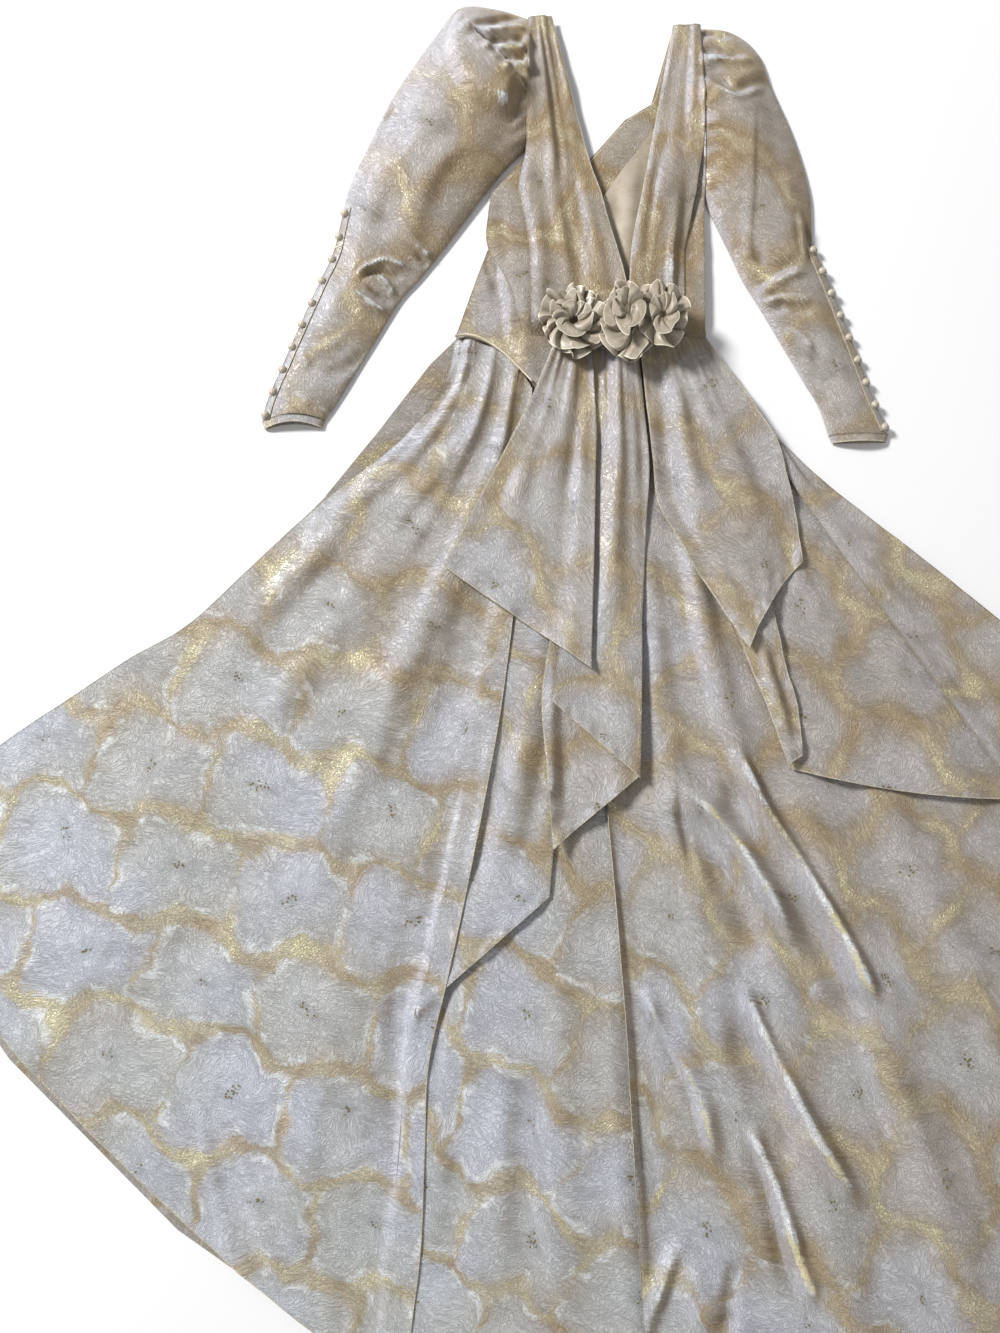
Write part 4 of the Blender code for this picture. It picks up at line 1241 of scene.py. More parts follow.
    def dress(self, cut: Cut, flat: np.ndarray, faces: list, maps: dict, wall: float, size: tuple,
              met: list[str]) -> bpy.types.Object:
        """Args:
            cut: the piece.
            flat: its points.
            faces: its faces.
            maps: its UV maps.
            wall: the cloth's thickness.
            size: width and length as cut.
            met: the pieces under it; not used.

        Returns:
            The object.
        """
        piece = make_object(f"{cut.node}_cloth", flat, faces, maps)
        self.heap.add(piece.name, flat, faces)
        surface = sum(polygon.area for polygon in piece.data.polygons)
        piece.data.materials.append(self.finishes.lining if cut.satin else self.finishes.brocade)
        piece.data.materials.append(self.finishes.cut_edge)
        shell = piece.modifiers.new("thickness", "SOLIDIFY")
        shell.thickness = wall
        shell.offset = -1.0
        shell.material_offset_rim = 1
        apply_modifiers(piece)
        bpy.ops.object.shade_smooth_by_angle(angle=math.radians(SMOOTH_BELOW))
        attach(piece, "root")
        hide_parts(cut.node)
        area = float(np.clip(surface, 0.3 * size[0] * size[1], size[0] * size[1]))
        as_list(met)
        LOG.info("%s: %d faces, cut %.3f x %.3f m, %.0f%% of it",
                 piece.name, len(piece.data.polygons), *size, 100 * area / (size[0] * size[1]))
        return piece


UNDER_SIDE = (
    Cut('skirt_under_left', 22, Grain(-12), level=True),
    Cut('skirt_under_right', 22, Grain(-50), level=True),
    Cut('bodice_far_left', 10, Grain(0), level=True),
    Cut('bodice_far_right', 8, Grain(-60), level=True),
)

SLEEVES = (
    Cut('sleeve_left', 4.4, Grain(-62, 4, 3), depth=0.8, eased=3, held=Held.GATHERED, tube=True,
        rumple=0.8,
        creases=(
            (((-33, 36), (-31, 33), (-29, 29), (-27.4, 25)), -5, 2.2, 0.2),
            (((-28.6, 25), (-25, 25.4), (-21.6, 28), (-17.4, 30)), -5, 2.3),
            (((-16, 28), (-21.6, 25), (-24.6, 21), (-26.6, 16.5), (-28, 12), (-29.5, 8.5)), 6, 2, 0.3),
            (((-29, 24), (-30.6, 18.5), (-31.8, 14), (-32.2, 9.5)), -7, 2.4, -0.2),
            (((-36, 6), (-34.5, 7.3), (-33, 8.2), (-31, 8.7), (-27, 7.6)), 7.5, 0.45, 0.3, 0.25),
            (((-35.4, 5.6), (-33.6, 6.6), (-31.6, 6.8), (-28.6, 6)), -6, 0.5, 0, 0.25),
            (((-32.5, 7), (-31, 5.2), (-29.6, 3.4)), 6, 0.4, 0.2, 0.3),
            (((-34.5, 5.2), (-32.6, 3.6), (-30, 2.2)), -6, 0.5),
            (((-36.4, 4.6), (-33.6, 2.3), (-30.4, 0.7)), 7, 0.45, 0.2, 0.3),
            (((-28, 12), (-25, 9.8), (-23.4, 9.2)), 5, 0.45),
            (((-27.4, 10.2), (-24.6, 7.8)), -5, 0.45),
            (((-43.8, -4.8), (-42, -8)), 3.5, 0.5),
            (((-38, 14), (-37.6, 8), (-38.6, 2)), -4, 1.4),
            (((-36, -2), (-40, -4.5), (-44, -5.5)), 3, 1),
            (((-33, -4), (-37, -7.5), (-42, -9.5)), -3, 1.1),
            (((-47, -9), (-43.5, -12), (-41.5, -14.5)), 3, 0.7),
            (((-20, 46.6), (-17, 43), (-13.6, 39.6), (-10.6, 36.6)), -9, 1, 0.3, 0.2),
            (((-19, 46), (-16.6, 46.4), (-13.7, 47.4), (-10.6, 48.8)), -8, 0.7, 0, 0.15),
            (((-17.6, 44.6), (-14.6, 44.8), (-10.4, 45.8)), 8, 0.7, 0, 0.15),
            (((-16.4, 43), (-13.8, 43), (-10.4, 43.6)), -9, 0.6, 0, 0.15),
            (((-15.4, 41.4), (-13, 41.4), (-10.4, 41.6)), 7, 0.6, 0, 0.15),
            (((-14, 39.8), (-12.4, 39.8), (-10.4, 39.8)), -8, 0.6, 0, 0.15),
        ),
        gathers=(Gathers(Side.TOP, 11, 2.6, 3.2, 31, (0.04, 0.62)),)),
    Cut('cuff_left', 2.2, Grain(-80), tube=True, rumple=0.1, hems=(Side.HEM,)),
    Cut('sleeve_right', 4.4, Grain(-38, 2, 7), depth=0.75, eased=3, held=Held.GATHERED, tube=True,
        rumple=0.8,
        creases=(
            (((15, 45.4), (18.3, 45.2), (21, 44.2)), -6, 0.6),
            (((15, 42.6), (18.3, 41.8), (22.6, 40.7)), -7, 1.1),
            (((15, 40.4), (18.2, 40), (22.3, 40.1), (24, 41.4)), 7, 0.7),
            (((15, 39.2), (17.1, 38), (19, 36.1), (21, 35), (24.1, 36.4), (27, 38.6)), -10, 1.2, 0.2),
            (((16.4, 37), (18.6, 34.6), (20.5, 33.4), (23, 34.5), (26.6, 37.6)), 7, 0.8, -0.2),
            (((23.4, 33), (22.9, 26.3), (22.7, 19.6), (22.3, 13), (22.6, 8)), 3.5, 0.7, 0.4),
            (((26.4, 32), (26, 25), (25.6, 18), (25, 11)), -4, 2.8, 0.2),
            (((22.4, 13), (24, 9), (27, 7.4), (30.4, 9.4)), -8, 0.9),
            (((31, 7.2), (27.3, 5.9), (22.5, 2.8)), 6, 0.8),
            (((22.8, 3.2), (24.6, 2.6), (27.6, 2.9), (32, 2.2)), 6, 0.55),
            (((24.5, 1.6), (28.2, 1.6), (32, 0.6)), -6, 0.8),
            (((26.6, -2.2), (29.5, -3), (31.8, -6.4)), 6, 0.7),
            (((27.6, -3.6), (31, -6.2), (34.2, -9), (37, -12)), -6, 1.2, 0.2),
            (((31, -3), (33.5, -6), (36.6, -10)), 4, 0.9),
            (((29.6, 17), (30.2, 13), (31, 7.6)), 6, 0.6),
            (((30.8, 16), (31.2, 12), (31.6, 8)), -5, 0.6),
        ),
        gathers=(Gathers(Side.TOP, 12, 4.5, 4, 17, (0.04, 0.6)),)),
    Cut('cuff_right', 2.2, Grain(-20), tube=True, rumple=0.1, hems=(Side.HEM,)),
)

BODY = (
    Cut('neck_facing', 3, Grain(-55, 3, 1), hems=(Side.LEFT,), rumple=0.2,
        creases=((((8, 33), (6, 28), (2, 23), (-2, 18)), -1.5, 1.2),)),
    Cut('bodice_lining', 4, Grain(0), depth=0.5, held=Held.DRAPED, satin=True, rumple=0.7,
        creases=(
            (((6.2, 27), (5, 19), (3.6, 6)), 5, 1.4, 0.3),
            (((3.2, 21), (2.6, 14), (2.6, 6)), -4, 1),
        )),
    Cut('hip_yoke_left', 3, Grain(-4, 3, 3), rumple=0.6,
        let_out=(
            LetOut(Side.HEM, ((0, 0), (0.2, 6), (0.35, 20), (0.5, 36), (0.62, 50), (0.8, 58), (1, 30)),
                reach=9.0),
        ),
        creases=(
            (((-16.4, 11.4), (-15.4, 7), (-14.3, 3.6), (-12.4, 3.2)), -7, 1),
            (((-13.4, 4.6), (-13, 0), (-12.6, -4.6)), 4, 0.8),
        )),
    Cut('hip_yoke_right', 3.5, Grain(-40, 5, 2), rumple=0.6,
        creases=((((14, 4), (12.6, 0), (11.4, -4)), -4, 0.8),)),
    Cut('skirt_centre', 6, Grain(-28, 6, 5), depth=0.6, held=Held.GATHERED, hems=(Side.HEM,),
        creases=(
            (((-20, -88), (-22, -97), (-23.5, -106), (-23.6, -114)), -6, 0.9),
            (((-5, -84), (-7, -100), (-6, -120), (-4, -140)), 6, 2.6),
            (((-14, -100), (-15, -118), (-16, -138)), 5, 2.4),
            (((-10, -98), (-11, -116), (-10, -140)), -5, 2.2),
            (((-19, -112), (-21, -124), (-22, -138)), -5, 1.6),
            (((0, -90), (0.6, -104), (1.6, -122), (2.4, -140)), 5, 1.4),
            (((-12, -118), (-8, -128), (-6, -140)), 4, 1.2),
        )),
    Cut('skirt_right', 6, Grain(-44, 3, 9), depth=1.0, held=Held.GATHERED, hems=(Side.HEM,), curl=1.0,
        let_out=(LetOut(Side.LEFT, ((0, 0),), ((0, 0), (0.4, -6), (1, -8)), 10),),
        creases=(
            (((0.6, -60), (0.4, -74), (2, -92), (3.2, -108), (4.2, -126), (5, -146)), 6, 0.8, 0.3),
            (((2.6, -66), (2.6, -80), (4.4, -98), (5.4, -112), (6.2, -130)), -8, 1.3),
            (((18, -62), (22, -70.6), (26, -77), (29.6, -83.6), (33, -90), (37, -99)), 15.7, 1.23, 0.3,
             0.15),
            (((16.4, -65), (20.4, -75), (26.2, -84), (31.6, -94), (35, -102)), -10, 1.95, 0, 0.15),
            (((10.4, -68), (14.4, -71.4), (18.4, -76), (22, -82), (26.4, -90.5)), 13.4, 1.18, -0.2, 0.2),
            (((8.6, -70), (13, -76), (18, -84), (22, -93)), -9, 1.72, 0, 0.15),
            (((10, -64), (10.8, -73), (12.2, -80), (14, -83)), -4, 0.7),
            (((3.4, -94), (7, -100), (10.4, -106), (12.6, -111), (14.8, -120)), 12.3, 1.06, -0.2, 0.15),
            (((4.6, -95), (8.4, -102), (11.6, -109), (13.6, -116)), -7, 1.3),
            (((18, -94), (21, -101), (24.4, -108), (28, -115), (34.5, -125)), 13.4, 1.23, 0.2, 0.15),
            (((15.6, -96), (19, -105), (22, -112), (26, -121)), -9, 2.07),
            (((18.6, -113), (22.2, -121), (24.6, -129), (27.5, -137)), 12.3, 1.01, 0, 0.15),
            (((17.4, -114), (20.6, -122), (23, -131), (25, -139)), -6, 1.1),
            (((16.8, -130), (15.9, -136), (15.2, -142)), -7, 1.1),
            (((3.8, -143), (6.4, -135), (9, -129), (11.4, -126)), 8, 1),
            (((3, -104), (4.2, -112), (5, -119), (6, -126)), -8, 1.2),
            (((9, -128), (11.6, -134), (12.4, -142)), 6, 1.5),
            (((28, -92), (34, -102), (40, -112), (46, -124)), 8, 2.4),
            (((31, -92), (38, -104), (45, -116)), -6, 2.2),
            (((36, -86), (44, -98), (52, -112)), 8, 2.6),
            (((42, -82), (50, -92), (60, -104)), 7, 2.6),
        )),
    Cut('overskirt_right', 5, Grain(-35, 7, 0), depth=0.6, held=Held.DRAPED, hems=(Side.HEM,), curl=2.4,
        creases=(
            (((22, -26), (27, -36), (33, -48), (39, -62)), 6, 2),
            (((26, -30), (32, -42), (39, -54)), -5, 1.8),
            (((20, -34), (24, -46), (28, -58)), -4, 1.4),
            (((30, -30), (38, -42), (48, -60)), 5, 2.4),
        )),
    Cut('skirt_side_right', 6, Grain(-62, 4, 5), depth=0.6, held=Held.GATHERED, hems=(Side.HEM,),
        curl=1.0,
        let_out=(LetOut(Side.RIGHT, ((0, -22), (0.06, -13), (0.16, -3), (0.26, 0), (1, 0)), reach=3.0),),
        creases=(
            (((27, -24), (32, -32), (40, -42), (52, -56), (64, -72)), -8, 1.2),
            (((27, -20), (33, -28), (42, -38), (55, -50)), 7, 1.4),
            (((56, -62), (68, -78), (80, -96)), 6, 2.4),
        )),
    Cut('overskirt_left', 5, Grain(-20, 2, 9), depth=0.7, held=Held.DRAPED, hems=(Side.HEM,), curl=3.2,
        creases=(
            (((-9, -50), (-12, -66), (-16, -82), (-20, -94)), 5, 1.6),
            (((-6, -52), (-8.6, -66), (-11.6, -82)), -5, 1.3),
            (((-13, -58), (-16, -72), (-20, -86)), -4, 1.2),
        )),
    Cut('skirt_left', 6.4, Grain(-13, 0, 4), depth=0.42, held=Held.GATHERED, hems=(Side.HEM, Side.RIGHT),
        curl=1.6,
        let_out=(LetOut(Side.RIGHT, ((0, 0),), ((0, 0), (0.3, -6), (0.6, -12), (1, -12)), 14),),
        creases=(
            (((-19, -9), (-25, -15.5), (-31, -22), (-37.5, -28.5), (-47, -37)), 8, 1.5, -0.2),
            (((-21.4, -4), (-25.4, -9), (-31.5, -16)), -15, 1.1, 0.2),
            (((-19.6, -4.4), (-23, -10), (-28.6, -17.6)), 11, 0.9),
            (((-17.6, -5.6), (-20.4, -11), (-25, -19)), -9, 1),
            (((-13, -9), (-18.5, -17), (-24.5, -24), (-32, -33), (-42, -42)), 9, 2, 0.2),
            (((-16, -16), (-21, -24), (-29, -31), (-39, -38), (-50, -46)), -8, 2),
            (((-21.5, -16), (-27, -21.5), (-33, -27.5), (-42, -36)), -6, 1.3),
            (((-12.5, -20), (-17, -33), (-27, -48), (-42, -64), (-58, -80)), 8, 3.4),
            (((-12, -27), (-15, -42), (-23, -60), (-36, -82)), -6, 3),
            (((-14, -36), (-18, -56), (-26, -80), (-38, -108)), 6, 3.2),
            (((-19, -64), (-23, -84), (-28, -106), (-34, -128)), -5, 2.4),
            (((-50, -56), (-62, -68), (-78, -84)), 5, 4),
            (((-44, -70), (-56, -88), (-70, -108)), -5, 4),
            (((-56.9, -104), (-55.6, -110), (-54, -118), (-51, -129), (-46, -137)), 6, 0.9),
            (((-53, -117), (-50.4, -124), (-47.6, -130.5), (-44, -138)), -6, 1.1),
            (((-50, -116), (-47.4, -124), (-44.4, -131), (-41.4, -139)), 6, 0.9),
            (((-58.5, -128), (-54, -129.6), (-49.4, -131)), -4, 0.8),
            (((-25.4, -84), (-26.2, -97), (-26.5, -110), (-24.6, -124), (-26, -136)), 7, 0.9),
            (((-28, -84), (-28.8, -97), (-29, -110), (-27.4, -124), (-28.6, -138)), -5, 1.2),
            (((-36, -96), (-40, -112), (-42, -128), (-40, -142)), 4, 2.6),
            (((-66, -74), (-76, -88), (-86, -100)), 4, 3),
            (((-15.6, -58), (-17, -70), (-19.6, -84)), 5, 0.9),
        ),
        gathers=(Gathers(Side.TOP, 4, 3.5, 2.4, 5, (0.02, 0.22)),)),
    Cut('bodice_side_left', 3.2, Grain(-4, 3, 3), rumple=0.6, sinks=(Side.HEM,),
        creases=((((-14.6, 21), (-14.2, 13), (-12.6, 6)), -3, 1),)),
    Cut('bodice_side_right', 3.2, Grain(-30, 2, 6), rumple=0.6, sinks=(Side.HEM,),
        let_out=(LetOut(Side.RIGHT, ((0, 4), (0.45, 4), (0.6, 0)), ((0, 9), (0.3, 7), (0.5, 0)), 3),),
        creases=((((14.6, 24), (14, 14), (13.6, 4)), -3, 0.9),)),
    Cut('bodice_under_right', 3.6, Grain(-80, 1, 5), depth=0.65, held=Held.FOLDED, hems=(Side.LEFT,),
        sinks=(Side.HEM,), curl=2.2, rumple=0.5,
        let_out=(
            LetOut(Side.RIGHT, ((0, 5), (0.29, 15), (0.43, 19), (0.58, 14), (0.72, 0)), ((0, 4), (0.15,
                10), (0.3, 13), (0.45, 9), (0.58, 0), (0.72, -6), (1, -7)), 4),
        ),
        creases=(
            (((12.4, 46), (11.8, 34), (11, 20), (10.6, 4)), 4, 1.3, 0.2),
            (((14.2, 40), (13.4, 28), (12.8, 14), (12.8, 0)), -4, 0.9),
            (((10.4, 38), (8.6, 24), (7.6, 10), (7.4, -2)), -4, 1.2),
            (((8.4, 22), (6.4, 10), (6, 0)), 3, 0.9),
        ),
        gathers=(Gathers(Side.TOP, 2, 2.5, 4.5, 7), Gathers(Side.HEM, 4, 2.4, 4, 8))),
    Cut('bodice_over_left', 3.6, Grain(-86, 4, 2), depth=0.65, held=Held.FOLDED, hems=(Side.RIGHT,),
        sinks=(Side.HEM,), curl=3.0, rumple=0.5,
        let_out=(
            LetOut(Side.LEFT, ((0, 4), (0.5, 4), (0.6, 0)), ((0, 2), (0.12, 8), (0.25, 13), (0.38, 9),
                (0.5, 0)), 4),
        ),
        creases=(
            (((-8.9, 47), (-7.6, 34), (-6.6, 22), (-4.6, 6), (-4, -3)), 5, 1.2, 0.2),
            (((-7.2, 44), (-5.2, 28), (-3.2, 12), (-2, -1)), -5, 1.1),
            (((-4.4, 30), (-1, 14), (0.6, -1)), 4, 1.2),
            (((-1.4, 20), (1.4, 9), (3, -1)), -3, 0.8),
            (((-12, 27), (-10.9, 17), (-9.4, 8), (-7.8, -2)), -4, 1.1),
            (((-10, 25), (-8.8, 16), (-7.4, 6), (-6.6, -2)), 3, 0.9),
        ),
        gathers=(Gathers(Side.TOP, 2, 2.5, 3.5, 3), Gathers(Side.HEM, 6, 2.4, 4, 4))),
    Cut('cascade_left_inner', 4.2, Grain(-60, 2, 4), depth=0.6, held=Held.DRAPED,
        hems=(Side.HEM, Side.LEFT), curl=3.4,
        creases=(
            (((-7.2, -49), (-7.4, -60), (-7.4, -74)), 5, 0.8),
            (((-5.4, -50), (-5.6, -62), (-5.4, -74)), -5, 0.9),
            (((-1.4, -50), (-2, -62), (-2.6, -72)), 4, 1.2),
        )),
    Cut('cascade_left_middle', 4.2, Grain(-84, 3, 2), depth=0.45, held=Held.GATHERED, hems=(Side.HEM,),
        curl=3.4,
        creases=(
            (((0.6, -10), (-0.6, -26), (-1.2, -40), (-1.8, -54)), -6, 0.8),
            (((3, -8), (2.6, -24), (2, -40), (1.6, -58)), 7, 1.2),
            (((5.6, -8), (6.2, -24), (6, -40), (4.7, -60)), -6, 0.9),
            (((4.2, -6), (4.8, -16), (5, -28)), 5, 0.8),
            (((-2, -20), (-3.4, -36), (-4.4, -52)), 5, 1),
        ),
        gathers=(Gathers(Side.TOP, 6, 5, 16, 11),)),
    Cut('cascade_left_top', 4.2, Grain(-74, 5, 6), depth=0.4, held=Held.GATHERED,
        hems=(Side.HEM, Side.LEFT), curl=3.6,
        creases=(
            (((-4.2, -5), (-6, -16), (-8.6, -28), (-11, -38)), 5, 1.5),
            (((-3, -6), (-4, -18), (-5.4, -32), (-6.6, -44)), -5, 0.9),
            (((-1.8, -5), (-2.6, -18), (-3.2, -32), (-3.8, -46)), 6, 0.9),
            (((-5.2, -10), (-8.4, -20), (-13, -30), (-17, -36)), -4, 1.3),
            (((-12, -30), (-15, -36), (-19, -39)), 4, 1.4),
        ),
        gathers=(Gathers(Side.TOP, 6, 5, 14, 12),)),
    Cut('cascade_right_middle', 3.6, Grain(-52, 2, 2), depth=0.8, held=Held.DRAPED,
        hems=(Side.HEM, Side.LEFT, Side.RIGHT), curl=3.4,
        creases=(
            (((21, -46), (24, -56), (26.4, -64)), 5, 0.8),
            (((22.6, -46), (25.4, -56), (26.8, -62)), -4, 0.7),
        )),
    Cut('cascade_right_top', 4.2, Grain(-48, 6, 3), depth=0.45, held=Held.GATHERED,
        hems=(Side.HEM, Side.LEFT, Side.RIGHT), curl=3.6,
        creases=(
            (((6.4, -8), (7.2, -20), (9, -32), (14.4, -41), (20, -50)), 6, 0.8),
            (((8.2, -8), (9.2, -20), (11, -30), (16, -39)), -6, 0.8),
            (((10, -6), (11.2, -18), (13.6, -30), (17, -40)), 6, 1.2),
            (((11.6, -8), (13.6, -20), (16.6, -31), (20.6, -40)), -6, 1.1),
            (((13.4, -8), (17, -18), (21, -28), (25, -35)), 5, 1.6),
            (((14.6, -10), (18.6, -18), (24, -26)), -4, 1.2),
        ),
        gathers=(Gathers(Side.TOP, 11, 6, 11, 13),)),
    Cut('sleeve_left_fold', 3.2, Grain(-62, 4, 3), held=Held.FOLDED, hems=(Side.RIGHT,),
        sinks=(Side.LEFT, Side.HEM), curl=8.0, rumple=0.5,
        creases=((((-20, 43), (-16, 38.5), (-12, 34)), 4, 0.8),)),
    Cut('placket_left', 2.5, Grain(-62, 1, 1), rumple=0.1, hems=(Side.RIGHT,), settled=True),
    Cut('placket_right', 2.5, Grain(-30, 1, 1), rumple=0.1, hems=(Side.LEFT,), settled=True),
)


# ------------------------------------------------------------------------------- rosettes
@dataclass(frozen=True)
class Ruffle:
    """One gathered round of ribbon: radii as shares of its rosette's, heights in millimetres.

    crowd above 0 draws the folds together at the top of the round, swirl sweeps the lower ones
    round, and open is how far the ribbon falls back towards the heart between two folds.
    """

    folds: int
    inner: float
    outer: float
    foot: float
    rise: float
    turn: float
    swirl: float
    seed: int
    off: tuple = (0.0, 0.0)  # centimetres from the rosette's middle
    crowd: float = 0.3
    open: float = 0.45


@dataclass
class Rosettes:
    """Three rosettes of gathered ribbon satin at the waist."""

    room: Workroom
    around: int = 360
    outwards: int = 12
    ribbon: float = 45 * MM  # the ribbon's width before it is gathered
    wall: float = 0.5 * MM  # the ribbon's thickness
    smooth_below: float = 60  # degrees
    headroom: float = 8 * MM  # how far a fold may rise past the frame's round
    seat: float = 1.0 * MM  # least height over what is below
    spread_out: tuple = (1.04, 1.10)  # how far the soft ruffles reach past the frame's rounds
    rounds: tuple = (
        ("rosette_left_outer", (
            Ruffle(16, 0.30, 1.04, 2, 14, 0.3, 0.3, 3, (0.1, 0.6), 0.30, 0.14),
            Ruffle(11, 0.20, 0.86, 8, 15, 1.7, 0.6, 33, (0.3, 0.2), 0.40, 0.20),
        )),
        ("rosette_centre_outer", (
            Ruffle(12, 0.25, 1.10, 3, 15, 0.9, -0.3, 8, (-0.8, 0.5), 0.15, 0.14),
            Ruffle(8, 0.20, 0.96, 9, 15, 2.2, -0.7, 28, (-0.6, 0.2), 0.25, 0.22),
        )),
        ("rosette_right_outer", (
            Ruffle(10, 0.18, 1.10, 3, 16, 0.1, 0.4, 5, (-1.8, 0.9), 0.2, 0.16),
        )),
        ("rosette_left_inner", (
            Ruffle(7, 0.20, 0.94, 11, 15, 1.2, 0.8, 11, (-0.2, 0.3), 0.4, 0.24),
        )),
        ("rosette_centre_inner", (
            Ruffle(5, 0.22, 1.00, 12, 16, 0.2, -0.8, 14, (-1.2, 1.2), 0.2, 0.26),
        )),
        ("rosette_right_inner", (
            Ruffle(6, 0.18, 1.05, 9, 17, 0.6, 0.6, 21, (-1.5, 0.4), 0.2, 0.22),
        )),
    )

    def build(self) -> None:
        """Make every rosette's rounds, the outer ones first."""
        for node, ruffles in self.rounds:
            self.build_node(node, ruffles)

    def build_node(self, node: str, ruffles: tuple) -> None:
        """Fold the rounds of ribbon that stand for one solid of the frame.

        Args:
            node: the solid.
            ruffles: its rounds.
        """
        low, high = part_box(node)
        points, faces, cloth, edges, painted_light = [], [], [], [], []
        met = self.room.heap.top(np.array([(low.x + high.x) / 2]), np.array([(low.y + high.y) / 2]))[1]
        for ruffle in ruffles:
            flat, run, hollow = self.fold_round(ruffle, low, high)
            start = sum(len(part) for part in points)
            net = Net(flat.reshape(self.outwards, self.around, 3), True)
            faces += [tuple(start + corner for corner in face) for face in net.faces()]
            points.append(flat)
            share = np.repeat(np.linspace(0, 1, self.outwards), self.around)
            cloth.append(np.column_stack([share * self.ribbon, np.tile(run, self.outwards)]))
            edges.append(np.column_stack([(1 - share) * self.ribbon, np.full_like(share, FAR)]))
            painted_light.append(np.column_stack([np.full_like(share, 0.5), 0.5 + 0.5 * hollow]))
        name = node + "_ribbon"
        maps = {"cloth": np.vstack(cloth), "edges": np.vstack(edges), "painted_light": np.vstack(painted_light)}
        piece = make_object(name, np.vstack(points), faces, maps)
        piece.data.materials.append(self.room.finishes.petals)
        shell = piece.modifiers.new("thickness", "SOLIDIFY")
        shell.thickness = self.wall
        shell.offset = 0.0
        apply_modifiers(piece)
        bpy.ops.object.shade_smooth_by_angle(angle=math.radians(self.smooth_below))
        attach(piece, "root")
        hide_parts(node)
        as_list(met)

    def fold_round(self, ruffle: Ruffle, low: Vector, high: Vector) -> tuple:
        """Fold one round.

        Args:
            ruffle: the round.
            low: the lowest corner of its rosette.
            high: the highest corner.

        Returns:
            Its points from the gathered edge outwards, the run along the ribbon and the painted shade of
            its hollows.
        """
        centre = (low + high) / 2 + Vector((*ruffle.off, 0)) * CM
        radii = (high - low) / 2
        draw = np.random.default_rng(ruffle.seed)
        theta = np.linspace(0, 2 * math.pi, self.around, endpoint=False)
        high_side = math.pi / 2
        warp = ruffle.folds * ruffle.crowd * np.sin(theta - high_side)
        wide = np.ones_like(theta)
        for wave in (1, 2, 3, 5):
            warp += draw.uniform(0.5, 1.0) * np.sin(wave * theta + draw.uniform(0, 6.28))
            wide += draw.uniform(0.02, 0.05) * np.sin((wave + 1) * theta + draw.uniform(0, 6.28))
        phase = ruffle.folds * theta + warp + ruffle.turn
        place = (phase + math.pi) / (2 * math.pi)
        pointed = draw.uniform(0.0, 1.0, ruffle.folds)[np.floor(place).astype(int) % ruffle.folds]
        petal = (1 - pointed) * np.abs(np.cos(phase / 2)) + pointed * (1 - np.abs(2 * (place % 1) - 1))
        own = np.floor(place).astype(int) % ruffle.folds
        tall = draw.uniform(0.35, 1.15, ruffle.folds)[own]
        long = draw.uniform(-0.16, 0.08, ruffle.folds)[own]
        flop = draw.choice([-1.0, 1.0], ruffle.folds)[own] * draw.uniform(0.5, 1.0, ruffle.folds)[own]
        lower = 0.5 - 0.5 * np.sin(theta)
        rows, hollows = [], []
        for t in np.linspace(0, 1, self.outwards):
            lean = flop * petal * t ** 1.3 * 2.6 / ruffle.folds
            angle = theta + lean + ruffle.swirl * t * (0.3 + 0.7 * lower)
            reach = (ruffle.inner + (ruffle.outer - ruffle.inner) * t ** 0.85) * wide
            reach = reach * (1 + long * t * petal - ruffle.open * t * (1 - petal ** 0.5))
            arch = math.sin(math.pi * (0.05 + 0.62 * t)) ** 0.7
            up = petal ** 0.8 * tall
            # Painted shade: dark between the folds and at the heart of the rosette.
            heart = 1 - t / 0.3
            hollows.append(np.clip(np.maximum(1.2 - 1.2 * petal ** 0.6 - 0.35 * t, heart), 0, 1))
            z = low.z + (ruffle.foot + ruffle.rise * arch * (0.08 + 0.92 * up * t ** 0.4)) * MM
            z = z + (1.5 * t ** 3 * np.sin(phase + 0.5) + 0.5 * t * np.sin(2 * phase + 4 * t)) * MM
            x = centre.x + radii.x * self.spread_out[0] * reach * np.cos(angle)
            y = centre.y + radii.y * self.spread_out[1] * reach * np.sin(angle)
            rows.append(np.column_stack([x, y, np.minimum(z, high.z + self.headroom)]))
        flat = np.vstack(rows)
        below = self.room.heap.top(flat[:, 0], flat[:, 1])[0]
        flat[:, 2] = np.maximum(flat[:, 2], below + self.seat)
        return flat, theta * radii.x * 2.2, np.concatenate(hollows)


